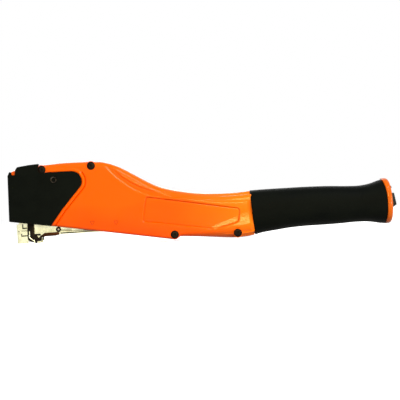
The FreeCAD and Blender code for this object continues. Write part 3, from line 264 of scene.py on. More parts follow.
def plate(loop, low, high, edge, steps=3):
    """Plate from an outline in the side view, between two y levels, with quarter-round rims."""
    low, high = sorted((low, high))
    area = (loop[:, 0] * np.roll(loop[:, 1], -1) - loop[:, 1] * np.roll(loop[:, 0], -1)).sum()
    normal = beside(np.roll(loop, -1, 0) - np.roll(loop, 1, 0)) * np.sign(area)
    angles = np.linspace(0, math.pi / 2, steps + 1)
    near = [(edge * (1 - math.sin(a)), low + edge * (1 - math.cos(a))) for a in angles]
    far = [(inset, low + high - level) for inset, level in reversed(near)]
    return tube([at_level(loop - normal * inset, level) for inset, level in near + far])


def turned(centre, profile, side=1, points=64, closed=False):
    """Solid turned about Y from pairs of a radius and a level; a third value makes a hexagon."""
    angle = np.linspace(0, 2 * math.pi, points, endpoint=False)
    around = np.stack([np.cos(angle), np.sin(angle)], -1)
    hexagon = (math.cos(math.pi / 6) / np.cos(angle % (math.pi / 3) - math.pi / 6))[:, None]
    return tube([at_level(centre + around * reach * (hexagon if six else 1), level * side)
                 for reach, level, *six in profile], closed)


def bead(path, level, half, tall, side):
    """Half-round bar along an open path in the side view, standing on the flat side at a level."""
    sunk = 0.4
    normal = beside(np.gradient(path, axis=0))
    angle = np.linspace(0, 2 * math.pi, 14, endpoint=False)
    across, out = half * np.cos(angle), np.where(np.sin(angle) > 0, tall, sunk) * np.sin(angle)
    flat = path[:, None] + normal[:, None] * across[:, None]
    depth = np.broadcast_to((level + out) * side, flat.shape[:2])
    return tube(np.stack([flat[..., 0], depth, flat[..., 1]], -1))


def wire(path, radius, side, other, corners=12):
    """Round wire along a path: circles set by two unit vectors square to its way."""
    angle = np.linspace(0, 2 * math.pi, corners, endpoint=False)[:, None]
    return tube(path[:, None] + radius * (side[:, None] * np.cos(angle) + other[:, None] * np.sin(angle)))


def piece(name, solids, body, finish, replaced=(), smooth=35):
    """One object from closed solids in millimetres, sharp where its faces meet at more than some degrees.

    A piece that bends between two bodies has no body of its own.
    """
    vertices, faces, base = [], [], 0
    for points, quads in solids:
        vertices.append(points)
        faces += [[corner + base for corner in face] for face in quads]
        base += len(points)
    mesh = bpy.data.meshes.new(name)
    mesh.from_pydata((np.concatenate(vertices) * MM).tolist(), [], faces)
    mesh.polygons.foreach_set("use_smooth", np.ones(len(mesh.polygons), bool))
    mesh.set_sharp_from_angle(angle=math.radians(smooth))
    mesh.materials.append(finish)
    mesh.update()
    item = bpy.data.objects.new(name, mesh)
    bpy.context.scene.collection.objects.link(item)
    if body:
        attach(item, body)
    if replaced:
        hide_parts(*replaced)
    return item


def note(item, name, values):
    """Keep a share for each point of a piece, which its material reads."""
    item.data.attributes.new(name, "FLOAT", "POINT").data.foreach_set("value", values)


def soften(item, name, width, degrees):
    """Round the edges that meet at more than some degrees, by a width in millimetres."""
    bevel = item.modifiers.new(name, "BEVEL")
    bevel.width = width * MM
    bevel.segments = 2
    bevel.limit_method = "ANGLE"
    bevel.angle_limit = math.radians(degrees)
    bevel.harden_normals = True


# Body

def section(start, low, high, half, belly_round, crest_round, counts):
    """Half section from the low to the high edge: flat, quarter ellipse, side, quarter ellipse, flat."""
    flat, turn, side = counts
    share = np.linspace(0, 1, flat, endpoint=False)
    angle = np.linspace(0, math.pi / 2, turn, endpoint=False)
    rise = np.linspace(0, 1, side, endpoint=False)
    last = np.linspace(0, 1, flat)
    (belly_y, belly_z), (crest_y, crest_z) = belly_round, crest_round
    y = [start + (half - belly_y - start) * share, half - belly_y + belly_y * np.sin(angle),
         half + 0 * rise, half - crest_y + crest_y * np.cos(angle), (half - crest_y) * (1 - last)]
    z = [low + 0 * share, low + belly_z * (1 - np.cos(angle)),
         low + belly_z + (high - crest_z - low - belly_z) * rise,
         high - crest_z + crest_z * np.sin(angle), high + 0 * last]
    return np.concatenate(y, 1), np.concatenate(z, 1)


def sink(x, y, z, loop, level=None, depth=0.0, wall=0.0, line=0.0):
    """Cut the area inside an outline down to a level, or by a depth that is reached a wall's width inside.

    Points near the outline, and near the foot of its wall, are first drawn onto them, so that both
    edges are crisp. A line pressed along the foot is a bell; its share is given for each point, and the
    material paints shade in the line by it.
    """
    drawn_within, line_half, margin = 0.29, 0.4, 1
    low, high = loop.min(0) - margin, loop.max(0) + margin
    near = (x > low[0]) & (x < high[0]) & (z > low[1]) & (z < high[1]) & (y > BODY_HALF / 2)
    points = np.stack([x[near], z[near]], -1)
    gap, onto = nearest(loop, points)
    for target in {0.0, -wall}:
        drawn = np.abs(gap - target) < drawn_within
        way = (points[drawn] - onto[drawn]) / np.where(gap[drawn] == 0, 1, gap[drawn])[:, None]
        points[drawn] = onto[drawn] + way * target
        gap[drawn] = target
    out = y[near]
    inside = gap < 0
    if level is not None:
        out[inside] = np.minimum(out[inside], level)
    bell = np.exp(-((gap + wall) / line_half) ** 2)
    out -= depth * np.clip(-gap / (wall or 0.01), 0, 1) + line * bell
    x[near], z[near], y[near] = points[:, 0], points[:, 1], out
    line_shade = np.zeros_like(y)
    line_shade[near] = bell
    return line_shade


def groove(x, y, z):
    """Moulded line beside the guard: raised as a half round next to the guard's edge, then a groove.

    With d the distance outside the guard's outline and h the bead's half width, the surface rises by
    the root of 1 - ((d - h) / h)^2 and falls by a bell about the groove's middle, onto which near
    points are first drawn. The share of painted shade in the groove, a narrower bell, is given for each
    point.
    """
    drawn_within, line_half = 0.3, 0.3
    near = (x > 20) & (x < 70) & (z < 67) & (y > BODY_HALF / 2)
    points = np.stack([x[near], z[near]], -1)
    gap, onto = nearest(rounded(GUARD_SIDE), points)
    drawn = np.abs(gap - GROOVE_AT) < drawn_within
    points[drawn] = onto[drawn] + (points[drawn] - onto[drawn]) * (GROOVE_AT / gap[drawn])[:, None]
    gap[drawn] = GROOVE_AT
    x[near], z[near] = points.T
    behind = ease(points[:, 0], 27.5, 29) * ease(gap, -0.3, 0.0)
    below_top = behind * ease(-points[:, 1], -61.8, -60.4)
    raised = BEAD_TALL * np.sqrt(np.clip(1 - ((gap - BEAD_HALF) / BEAD_HALF) ** 2, 0, 1))
    off = gap - GROOVE_AT
    y[near] += raised * behind - GROOVE_DEEP * np.exp(-(off / GROOVE_HALF) ** 2) * below_top
    line_shade = np.zeros_like(y)
    line_shade[near] = np.exp(-(off / line_half) ** 2) * below_top
    return line_shade


def shell(side):
    """One half of the handle, and how far each of its points lies in a pressed line, which sets its painted
    shade.

    The half section is carried from head to grip. Its side is pressed in by a crown that grows to
    the rear, a shelf that leans up, a band between two creases, a roll at the grip and a slope
    above the high crease, each a depth times smooth steps along X and Z. A label recess, seats for
    screws or nuts, and a cavity with posts follow.
    """
    wall_end = BODY_FRONT + WALL
    hair = 0.01
    spans = [
        (BODY_FRONT, BODY_FRONT, 1), (BODY_FRONT + 0.2, wall_end - hair, 12), (wall_end, wall_end, 1),
        (wall_end + hair, 6, 30), (6.5, 24, 36), (24.32, 66, 131), (66.5, SLOT_END - hair, 136),
        (SLOT_END, SLOT_END, 1), (SLOT_END + 0.5, BODY_REAR - 0.1, 165)]
    columns = np.concatenate([np.linspace(*span) for span in spans])[:, None]
    slotted = (columns > wall_end) & (columns < SLOT_END)
    start = np.where(slotted, SLOT_HALF, 0.0)
    low, high = flowing(columns, BELLY), flowing(columns, CREST)
    half = BODY_HALF + 0 * columns
    belly = (2.2 + 7.3 * ease(columns, 120, 195), 2.2 + 8.8 * ease(columns, 130, 200))
    crest = (5.0 + 5.5 * ease(columns, 85, 150),
             5.0 + 2.0 * ease(columns, 82, 100) + 2.5 * ease(columns, 150, 205))
    y, z = section(start, low, high, half, belly, crest, (6, 9, 136))
    x = np.broadcast_to(columns, y.shape).copy()

    crown, shelf_lean, band_deep, roll_deep, slope_deep = 1.2, 0.17, 0.6, 0.7, 0.5
    off_middle = (z - (low + high) / 2) / (high - low) * 2
    y -= crown * ease(columns, 150, 205) * off_middle ** 2 * (y > BODY_HALF - 6)
    on_side = ease(y, 5.0, 9.0)
    behind = columns - 176
    shelf = np.clip(z - (1.9 + 0.133 * behind), 0, np.maximum(5.0 + 0.2 * behind, 0.5))
    y -= shelf_lean * shelf * ease(columns, 150, 182) * on_side
    above_low = ease(z - flowing(columns, CREASE_LOW), -0.7, 0.7)
    above_high = ease(z - flowing(columns, CREASE_HIGH), -0.8, 0.8)
    band = above_low * (1 - above_high)
    y -= band_deep * band * ease(columns, 76, 84) * (1 - 0.75 * ease(columns, 118, 168)) * on_side
    y -= roll_deep * ease(columns, BODY_REAR - 4, BODY_REAR + 1) * on_side
    y -= slope_deep * above_high * ease(columns, 118, 150) * (1 - ease(columns, 172, 205)) * on_side

    # Painted shade in the label's edge line, strong along its top and right and none on its left, and in
    # the groove beside the guard
    line_shade = 0.6 * sink(x, y, z, rounded(LABEL, 5), depth=0.7, wall=1.2, line=0.35)
    above = z - LABEL[-1][1] + 0.16 * (x - LABEL[-1][0])
    line_shade *= (0.3 + 0.7 * ease(above, 2, 6)) * ease(x, 111.5, 117)
    line_shade += 0.8 * groove(x, y, z)
    for place in SCREWS:
        if side < 0:
            sink(x, y, z, ring(place, SEAT_RADIUS), level=SEAT_LEVEL)
        else:
            sink(x, y, z, ring(place, NUT_SEAT_RADIUS, 6), level=NUT_LEVEL)
    x -= SEAM_LEAN * (z - low) / (high - low) * ease(x, 196, BODY_REAR)
    outer = np.stack([x, y, z], -1)

    inner_y, inner_z = section(
        start, low + WALL, high - WALL, half - WALL, (1.5, 1.5), (3.0, 3.0), (3, 3, 10))
    inner_x = np.maximum(columns, wall_end + hair * np.arange(len(columns))[:, None] / len(columns))
    inner = np.stack([np.broadcast_to(inner_x, inner_y.shape), inner_y, inner_z], -1)
    inner[-1, :, 0] = BODY_REAR - 0.2
    profile = np.concatenate([outer, inner[:, ::-1]], 1)
    count, corners = profile.shape[:2]
    outer_corners = outer.shape[1]
    faces = lattice(count, corners)
    faces.append(list(range(outer_corners)))
    faces.append(list(range(outer_corners, corners)))
    faces.append([outer_corners - 1, outer_corners, corners - 1, 0])
    faces.append([(count - 1) * corners + k for k in range(corners - 1, -1, -1)])
    solids = [outward(profile.reshape(-1, 3) * (1, side, 1), faces)]

    post_end = (BODY_HALF - WALL + 0.4) * side
    solids += [plate(ring(place, POST_RADIUS, 32), 0.05 * side, post_end, 0.1, 1) for place in SCREWS]
    solids += [plate(ring(RIVET, 4.0, 32), 7.4 * side, post_end, 0.1, 1), core(side)]
    solids += [screw_boss(place, side) for place in SCREWS]
    # Each point's share of painted shade in the pressed lines
    lines = np.zeros(sum(len(points) for points, _ in solids))
    lines[:count * corners] = np.concatenate([line_shade, 0 * inner_y], 1).reshape(-1)
    return solids, lines


def core(side):
    """Half tube inside the grip that holds spare staples: a half superellipse with a wall."""
    angle = np.linspace(-math.pi / 2, math.pi / 2, 25)
    outer = np.stack(oval(angle, 12.6, 4.85, 32.35, 2.8), -1)
    inner = np.stack(oval(angle, 10.4, 7.05, 30.15, 2.8), -1)
    loop = np.concatenate([outer, inner[::-1]]) * (side, 1)
    return tube([np.insert(loop, 0, x, axis=1) for x in (BODY_REAR - 1.5, GRIP_HIGH[0] - 0.1)])


def screw_boss(place, side):
    """Round rim of a screw's seat, which stands out where the body's edge falls away."""
    seat, foot, top = SEAT_RADIUS - 0.02, 9.0, BODY_HALF - 0.07
    profile = [(seat, foot), (seat, top - 0.18), (seat + 0.12, top), (BOSS_RADIUS - 0.45, top),
               (BOSS_RADIUS - 0.12, top - 0.23), (BOSS_RADIUS, top - 0.63), (BOSS_RADIUS, foot)]
    return turned(place, profile, side, closed=True)


def arrows():
    """Raised marks that point down to the tray, two on each side: each a small triangle drawn as a bar."""
    half, tall = 2.0, 3.5
    solids = []
    for side in (-1, 1):
        for x, low in ((66.1, 13.0), (87.4, 12.2)):
            corners = [(x - half, low + tall), (x, low), (x + half, low + tall)]
            for first, last in zip(corners, corners[1:] + corners[:1]):
                t = np.linspace(0, 1, 5)[:, None]
                path = np.array(first) * (1 - t) + np.array(last) * t
                solids.append(bead(path, BODY_HALF, 0.34, 0.25, side))
    return solids


# Guard

def guard_sheet():
    """Outer face of the bent steel guard: two flat cheeks and a front wall with quarter-round corners."""
    out, front = GUARD_HIGH[1], GUARD_LOW[0]
    bend, lean = 2.4, 0.8
    angle = np.linspace(0, math.pi / 2, 7)
    corner = np.stack([front + bend * (1 - np.sin(angle)), -out + bend * (1 - np.cos(angle))], -1)
    wall = np.stack([np.full(9, front), np.linspace(-out + bend, out - bend, 11)[1:-1]], -1)
    plan = np.concatenate([corner, wall, (corner * (1, -1))[::-1]])
    top = GUARD_TOP_FRONT + (GUARD_TOP_BACK - GUARD_TOP_FRONT) * ease(plan[:, 0], front, front + bend)
    low = 20.3 - (plan[:, 0] - front) * 0.175
    share = np.linspace(0, 1, 25)
    z = low[:, None] + (top - low)[:, None] * share
    x = plan[:, :1] + lean * share * (plan[:, :1] < front + bend * 2)
    vertices = [np.stack([x, np.broadcast_to(plan[:, 1:], z.shape), z], -1).reshape(-1, 3)]
    count, rows = z.shape
    faces = [[a, d, c, b] for a, b, c, d in lattice(count, rows, wrapped=False)]
    base = count * rows
    loop = rounded(GUARD_SIDE)
    for side, edge in ((-1, np.arange(rows)), (1, (count - 1) * rows + np.arange(rows))):
        vertices.append(at_level(loop, out * side))
        face = list(range(base, base + len(loop))) + edge[::-1].tolist()
        faces.append(face if side < 0 else face[::-1])
        base += len(loop)
    return np.concatenate(vertices), faces


def rivet_solids():
    """Hollow rivet on each cheek: a rolled rim round a dimple."""
    out = GUARD_HIGH[1]
    radius, tall = (RIVET_HIGH[0] - RIVET_LOW[0]) / 2, RIVET_HIGH[1] - out
    rim, sunk = 0.75, -0.6
    angle = np.linspace(0, math.pi, 9)
    profile = [(radius - 0.05, sunk)]
    profile += [(radius - rim + rim * math.cos(a), tall - rim + rim * math.sin(a)) for a in angle]
    profile += [(radius - rim * 2.1, 0.1), (0.9, -0.5), (0.25, sunk)]
    raised = [(reach, out + level) for reach, level in profile]
    return [turned(RIVET, raised, side, 40) for side in (-1, 1)]


def screw_solids():
    """Four screws: a rounded head with a hexagon socket, and the shank that reaches its nut."""
    head, shank, socket = SCREWS_LOW[1], 1.5, 1.35
    profile = [(shank, SCREWS_HIGH[1]), (shank, head + 2.0), (3.7, head + 2.0), (3.72, head + 0.8),
               (3.4, head + 0.3), (2.6, head), (socket * 1.12, head, 6), (socket, head + 0.15, 6),
               (socket, head + 1.2, 6)]
    return [turned(place, profile, points=48) for place in SCREWS]


# Nose and latch

NOSE_SLOTS = [  # x from and to, z from and to, depth
    (2.9, 6.9, 13.1, 14.1, 0.9), (1.4, 6.6, 11.0, 11.6, 0.35), (1.1, 6.9, 6.2, 7.2, 0.9),
    (2.4, 3.3, 13.1, 20.6, 0.9), (-1.2, -0.4, 10.5, 11.4, 0.7), (0.9, 2.0, 7.2, 8.8, 0.45),
]


def stepped(start, end, step, edges=()):
    """Even steps from start to end, with a close pair of values at each edge that a cut needs."""
    even = np.linspace(start, end, max(2, round(abs(end - start) / step) + 1))
    pairs = [edge + hair for edge in edges for hair in (-0.05, 0.05)]
    inside = [value for value in pairs if min(start, end) < value < max(start, end)]
    values = np.unique(np.round(np.concatenate([even, inside]), 4))
    return values if end > start else values[::-1]


def nose_guide():
    """Nose plate bent round the front of the magazine, with slots pressed into its cheeks.

    Its plan is a U: a cheek, a quarter round, the front face and the same again; the inner skin lies
    a sheet's thickness inside. Also gives the share of painted shade, which darkens the slots.
    """
    thick, bend, step = 1.1, 1.6, 0.3
    front, back, half, top = NOSE_LOW[0], NOSE_HIGH[0], NOSE_HIGH[1], NOSE_HIGH[2]
    rows = stepped(0.25, top, step, [edge for slot in NOSE_SLOTS for edge in slot[2:4]])
    rows = np.concatenate([[0.0], rows])
    cheek = stepped(back, front + bend, step, [edge for slot in NOSE_SLOTS for edge in slot[:2]])
    angle = np.linspace(0, math.pi / 2, 9)[1:-1]
    corner = np.stack([front + bend * (1 - np.sin(angle)), -half + bend * (1 - np.cos(angle))], -1)
    side = np.concatenate([np.stack([cheek, np.full(len(cheek), -half)], -1), corner])
    face = np.stack([np.full(27, front), np.linspace(-half + bend, half - bend, 27)], -1)
    plan = np.concatenate([side, face, (side * (1, -1))[::-1]])
    inward = beside(np.gradient(plan, axis=0))
    x, z = np.meshgrid(plan[:, 0], rows, indexing="ij")
    depth = np.zeros_like(x)
    on_cheek = np.abs(plan[:, 1])[:, None] > half - 0.3
    for left, right, low, high, deep in NOSE_SLOTS:
        inside = (x > left) & (x < right) & (z > low) & (z < high) & on_cheek
        depth = np.maximum(depth, deep * inside)
    chamfer = 0.25 * (z < 0.1)
    outer = plan[:, None] + inward[:, None] * (depth + chamfer)[..., None]
    inner = np.broadcast_to((plan + inward * thick)[:, None], outer.shape)
    flat = np.concatenate([outer, inner[:, ::-1]], 1)
    level = np.concatenate([z, z[:, ::-1]], 1)
    painted_shade_and_tint = np.concatenate([np.clip(depth / 0.6, 0, 1), 0 * depth], 1)
    return tube(np.stack([flat[..., 0], flat[..., 1], level], -1)), painted_shade_and_tint.reshape(-1)


LATCH = [
    (7.5, 21.4, 0.6), (6.9, 8.0, 6.0), (6.8, 4.0, 3.5), (8.9, 1.3, 3.5), (12.8, 0.3, 0.5),
    (13.5, -0.4, 0.4), (15.0, -0.4, 0.4), (15.3, 1.5, 0.4), (19.2, 1.6, 0.5), (19.4, 4.3, 1.0),
    (20.6, 5.2, 1.5), (33.2, 5.4, 5.0), (35.6, 6.8, 1.0), (35.0, 8.6, 1.0), (22.3, 8.5, 2.5),
    (18.9, 6.2, 1.0), (16.6, 4.3, 0.4), (15.4, 6.5, 0.6), (13.1, 6.6, 0.5), (13.0, 21.4, 0.6),
]
PRONG = [(12.5, 6.4, 0.3), (18.0, 6.4, 0.4), (19.2, 7.1, 0.4), (18.0, 7.9, 0.4), (12.5, 8.0, 0.3)]
FINGER_BAR = [(28.5, 5.6, 0.6), (32.5, 5.6, 1.0), (35.4, 6.9, 0.8), (35.0, 8.2, 0.8), (28.5, 7.6, 0.6)]
FOOT_PAD = [(15.3, -0.4, 0.3), (18.5, -0.4, 0.4), (18.5, 1.55, 0.2), (15.4, 1.5, 0.2)]
HOOK = [(8.9, 10.8), (8.95, 8.6), (8.5, 6.6), (8.7, 5.1), (10.1, 3.7), (11.8, 2.6), (12.9, 1.5),
        (13.3, 0.1)]
ARM_IN, ARM_OUT = 8.55, 9.75


def latch_solids():
    """Bell crank latch: two pressed arms, each with a prong, and a finger bar between their ends."""
    solids = []
    for outline, out, edge, steps in (
            (rounded(LATCH, 12), ARM_OUT, 0.3, 2), (rounded(PRONG, 15), 9.6, 0.2, 1)):
        solids += [plate(outline, ARM_IN * side, out * side, edge, steps) for side in (-1, 1)]
    return solids + [plate(rounded(FINGER_BAR, 15), -9.0, 9.0, 0.2, 1)]


def hook_solids():
    """Bright wire hooked along each arm of the latch, on a smooth path, and a pad at its foot."""
    at = np.array(HOOK)
    run = np.concatenate([[0], np.cumsum(np.linalg.norm(np.diff(at, axis=0), axis=1))])
    t = np.linspace(0, run[-1], 48)
    line = np.stack([flowing(t, np.stack([run, values], -1)) for values in at.T], -1)
    solids = []
    for side in (-1, 1):
        path = at_level(line, 9.98 * side)
        way = np.gradient(path, axis=0)
        way /= np.linalg.norm(way, axis=1)[:, None]
        across = np.cross(way, (0.0, 1.0, 0.0))
        across /= np.linalg.norm(across, axis=1)[:, None]
        solids.append(wire(path, 0.55, across, np.cross(across, way)))
    pad = rounded(FOOT_PAD, 15)
    return solids + [plate(pad, 8.4 * side, 9.5 * side, 0.2, 1) for side in (-1, 1)]


def return_coil():
    """Compression spring: a wire on a helix, its circles set by the radius and a cross product."""
    low, high = box_mm("return_spring")
    wire_radius, turns, steps = 0.6, 7, 24
    reach = (high[1] - low[1]) / 2 - wire_radius
    angle = np.linspace(0, 2 * math.pi * turns, steps * turns + 1)
    level = np.linspace(low[2] + wire_radius, high[2] - wire_radius, len(angle))
    away = np.stack([np.cos(angle), np.sin(angle), 0 * angle], -1)
    path = away * reach + np.stack([0 * level + (low[0] + high[0]) / 2, 0 * level, level], -1)
    way = np.gradient(path, axis=0)
    other = np.cross(way / np.linalg.norm(way, axis=1)[:, None], away)
    return [wire(path, wire_radius, away, other)]


# Grip and butt

GRIP_TOP = [(212.0, 36.1), (226.0, 36.4), (254.8, 36.5), (276.4, 36.1), (298.0, 34.9), (305.2, 34.7),
            (312.4, 35.2), (319.7, 36.5), (326.0, 38.2), (330.0, 39.0)]
GRIP_BOTTOM = [(212.0, -4.0), (216.5, -2.9), (231.0, -1.0), (245.5, 0.5), (260.0, 1.1), (274.4, 1.2),
               (288.8, 1.5), (303.3, 2.1), (310.5, 2.0), (317.7, 1.3), (324.8, 0.0), (330.0, -0.6)]
GRIP_HALF = [(212.0, 16.2), (230.0, 16.2), (260.0, 16.0), (285.0, 15.4), (303.0, 15.1), (316.0, 15.8),
             (330.0, 17.1)]


def seam(z):
    """Joint of grip and ring: it leans forward with the power 2.5 of the height off the middle."""
    return GRIP_HIGH[0] + 0.9 - 3.2 * np.abs((z - 17.0) / 22.0) ** 2.5


def grip_solids():
    """Rubber sleeve: superellipses that flow along the grip, with a rolled front lip and a bore."""
    front, rear = BODY_REAR, GRIP_HIGH[0]
    lip, edge, wall = 1.3, 0.6, 3.4
    turn = np.linspace(0, math.pi / 2, 7)
    stations = [(front, 0.0)]
    stations += [(front + lip * (1 - math.sin(a)), 1 - lip / wall * (1 - math.cos(a))) for a in turn[::-1]]
    stations += [(x, 1.0) for x in np.linspace(front + lip, rear - edge, 150)[1:]]
    stations += [(rear - edge + edge * math.sin(a), 1 - edge / wall * (1 - math.cos(a))) for a in turn[1:]]
    stations += [(rear, 0.0), (front + 20, 0.0)]
    x, share = np.array(stations).T[..., None]
    angle = np.linspace(0, 2 * math.pi, 128, endpoint=False)[None]
    low, high, half = flowing(x, GRIP_BOTTOM), flowing(x, GRIP_TOP), flowing(x, GRIP_HALF)
    outer_y, outer_z = oval(angle, half, low, high, 2.5)
    bore_y, bore_z = oval(angle, 12.75, 4.7, 32.5, 2.8)
    y = bore_y + (outer_y - bore_y) * share
    z = bore_z + (outer_z - bore_z) * share
    slant = SEAM_LEAN * (z + 4) / 40 * (1 - ease(x, front + 1, front + 26))
    bulge = (seam(z) - rear) * ease(x, rear - 24, rear)
    return [tube(np.stack([x - slant + bulge, y, z], -1), closed=True)]


def dome(y, z):
    """Rear face of the cap: it falls with the height squared and the fourth power of the width."""
    return CAP_HIGH[0] - 2.4 * ((z - 16.5) / 22) ** 2 - 0.6 * (y / CAP_HIGH[1]) ** 4


def cap_solids():
    """Orange ring with a domed rear face, a recess for the door and the mouth of the storage space.

    Rings of superellipses run from the seam over the rim and the dome, down the recess and back inside.
    """
    angle = np.linspace(0, 2 * math.pi, 160, endpoint=False)
    half, low, high = CAP_HIGH[1], CAP_LOW[2] + 0.7, CAP_HIGH[2] + 1.4
    rim, plug = (half, low, high, 2.6), (10.2, 7.3, 29.9, 2.8)
    recess, mouth = (9.8, 7.3, 33.6, 14), (8.0, 9.4, 27.8, 6)
    floor, inside, edge = GRIP_HIGH[0] + 3.1, GRIP_HIGH[0] - 6, 2.4
    rings = []

    def add(shape, x, inset=0.0):
        y, z = oval(angle, shape[0] - inset, shape[1] + inset, shape[2] - inset, shape[3])
        rings.append(np.stack([np.broadcast_to(x(y, z) if callable(x) else x, y.shape), y, z], -1))

    add(plug, lambda y, z: seam(z))
    for behind, inset in ((0.0, 0.6), (0.2, 0.15), (0.6, 0.0)):
        add(rim, lambda y, z: seam(z) + behind, inset)
    for a in np.linspace(0, math.pi / 2, 8):
        add(rim, lambda y, z: dome(y, z) - edge * (1 - math.sin(a)), edge * (1 - math.cos(a)))
    for t in np.linspace(0, 1, 12)[1:]:
        y1, z1 = oval(angle, half - edge, low + edge, high - edge, rim[3])
        y2, z2 = oval(angle, *recess)
        y, z = y1 + (y2 - y1) * t, z1 + (z2 - z1) * t
        rings.append(np.stack([dome(y, z), y, z], -1))
    add(recess, lambda y, z: dome(y, z) - 0.35, 0.2)
    add(recess, floor, 0.2)
    for shape, x in ((mouth, floor), (mouth, inside), (plug, inside)):
        add(shape, x)
    return [tube(rings, closed=True)]


def door_solids():
    """Door with its knuckle at the top: a leaf that follows the dome, a rod and a rounded finger wedge."""
    half, low, back = DOOR_HIGH[1], DOOR_LOW[2], CAP_HIGH[0]
    pin = side_middle(*box_mm("door_pin"))
    top, inner = pin[1] + 1.2, back - 2.6
    angle = np.linspace(0, 2 * math.pi, 160, endpoint=False)
    rings = []
    for inset, lift in ((0.0, None), (0.0, -0.35), (0.12, -0.1), (0.35, 0.0)):
        y, z = oval(angle, half - inset, low + inset, top - inset, 14)
        rings.append(np.stack([np.full(len(y), inner) if lift is None else dome(y, z) + lift, y, z], -1))
    centre = np.array([0, (low + top) / 2])
    last = rings[-1][:, 1:]
    for t in np.linspace(0, 1, 8)[1:-1]:
        y, z = (last + (centre - last) * t).T
        rings.append(np.stack([dome(y, z), y, z], -1))
    wedge = [(back - 1.2, 13.0, 0.2), (back + 0.5, 13.6, 0.4), (DOOR_HIGH[0] - 0.9, 15.9, 0.5),
             (back + 2.1, 26.4, 0.4), (back - 1.2, 26.8, 0.2)]
    return [tube(rings), plate(ring(pin, 1.65, 32), -half, half, 0.25, 2),
            plate(rounded(wedge, 15), -8.4, 8.4, 0.3)]


# Materials

def linear(code, alpha=1.0):
    """An sRGB hex colour as linear light."""
    parts = [int(code[k:k + 2], 16) / 255 for k in (1, 3, 5)]
    return [c / 12.92 if c <= 0.04045 else ((c + 0.055) / 1.055) ** 2.4 for c in parts] + [alpha]


def node(tree, kind, inputs=(), **settings):
    """One shader node with its settings; inputs maps a socket to a value or to another node's output."""
    made = tree.nodes.new("ShaderNode" + kind)
    for name, value in settings.items():
        setattr(made, name, value)
    for name, value in dict(inputs).items():
        if isinstance(value, bpy.types.NodeSocket):
            tree.links.new(value, made.inputs[name])
        else:
            made.inputs[name].default_value = value
    return made


def surface(name, **fixed):
    """A material with only its shader and the piece's own coordinates; fixed gives the shader's sockets."""
    material = bpy.data.materials.new(name)
    material.use_nodes = True
    tree = material.node_tree
    tree.nodes.clear()
    shader = node(tree, "BsdfPrincipled", {key.replace("_", " "): value for key, value in fixed.items()})
    node(tree, "OutputMaterial", {"Surface": shader.outputs[0]})
    return material, tree, shader, node(tree, "TexCoord").outputs["Object"]


def cloud(tree, place, size, detail=3.0, rough=0.55, scale=None):
    """Noise with features of a size in millimetres; scale stretches its coordinates along each axis."""
    if scale:
        place = node(tree, "Mapping", {"Vector": place, "Scale": scale}).outputs[0]
    return node(tree, "TexNoise", {"Vector": place, "Scale": 1 / (size * MM), "Detail": detail,
                                   "Roughness": rough}).outputs[0]


def between(tree, share, first, last, low=0.35, high=0.65):
    """A colour that runs from one to another as a share goes from low to high, which is at most 1."""
    ramp = node(tree, "ValToRGB", {"Fac": share})
    for end, position, code in zip(ramp.color_ramp.elements, (low, high), (first, last)):
        end.position = position
        end.color = linear(code)
    return ramp.outputs[0]


def finish(tree, shader, colour, dull, layers):
    """Link a colour, a roughness and a bump to a shader.

    dull is a pattern with the roughness that it gives at 0.3 and at 0.7. Each layer of the bump is a
    height pattern with its depth in millimetres.
    """
    tree.links.new(colour, shader.inputs["Base Color"])
    pattern, low, high = dull
    roughness = node(tree, "MapRange", {"Value": pattern, "From Min": 0.3, "From Max": 0.7,
                                        "To Min": low, "To Max": high})
    tree.links.new(roughness.outputs[0], shader.inputs["Roughness"])
    under = {}
    for height, depth in layers:
        bump = node(tree, "Bump", {"Height": height, "Distance": depth * MM, "Strength": 1.0, **under})
        under = {"Normal": bump.outputs[0]}
    tree.links.new(bump.outputs[0], shader.inputs["Normal"])


def moulded_abs(name, deep, pale, rear_highlight):
    """Glossy injection-moulded ABS with a slight orange peel: painted paler upwards as a lit top, painted
    golden to the rear as a warm highlight, and painted darker in pressed lines as shade.

    The share of the pale tone is the height over 66 mm, which is painted light, plus a cloud, which is
    a tone that varies at random; that of the golden highlight is a smooth step along X. Pressed lines
    hold a darker tone of painted shade.
    """
    material, tree, shader, place = surface(name, IOR=1.5, Specular_IOR_Level=0.1)
    along = node(tree, "SeparateXYZ", {"Vector": place})
    # Painted lit top: the pale share rises with the height, plus a cloud of tone that varies at random
    rise = node(tree, "MapRange", {"Value": along.outputs["Z"], "From Max": 0.066}).outputs[0]
    flow = cloud(tree, place, 60, 2.0, scale=(0.6, 1.0, 1.4))
    share = node(tree, "Math", {0: rise, 1: flow}, operation="ADD").outputs[0]
    tone = between(tree, share, deep, pale, 0.45, 1.0)
    # Painted highlight: a golden tone towards the grip
    rear = node(tree, "MapRange", {"Value": along.outputs["X"], "From Min": 0.140, "From Max": 0.212},
                interpolation_type="SMOOTHSTEP").outputs[0]
    colour = node(tree, "Mix", {0: rear, 6: tone, 7: linear(rear_highlight)}, data_type="RGBA").outputs[2]
    # Painted shade: a darker red where a pressed line lies
    line = node(tree, "Attribute", attribute_name="lines").outputs["Fac"]
    colour = node(tree, "Mix", {0: line, 6: colour, 7: linear("#BC2C00")}, data_type="RGBA").outputs[2]
    marks = cloud(tree, place, 9, 5.0, 0.7, (1.0, 1.0, 3.0))
    finish(tree, shader, colour, (marks, 0.11, 0.17),
           [(cloud(tree, place, 2.2, 1.0), 0.012), (cloud(tree, place, 0.35, 1.0), 0.002)])
    return material


def powder_coat():
    """Matt black powder coat on bent steel: fine pebbles about 0.5 mm apart and a dull, even sheen."""
    material, tree, shader, place = surface("matt_powder_coat", IOR=1.5, Specular_IOR_Level=0.04)
    patch = cloud(tree, place, 14, 4.0, 0.6)
    pebble = node(tree, "TexVoronoi", {"Vector": place, "Scale": 1 / (0.55 * MM)}).outputs[0]
    finish(tree, shader, between(tree, patch, "#030604", "#080C09"), (patch, 0.5, 0.64),
           [(pebble, 0.02), (cloud(tree, place, 2.0, 2.0), 0.02)])
    return material


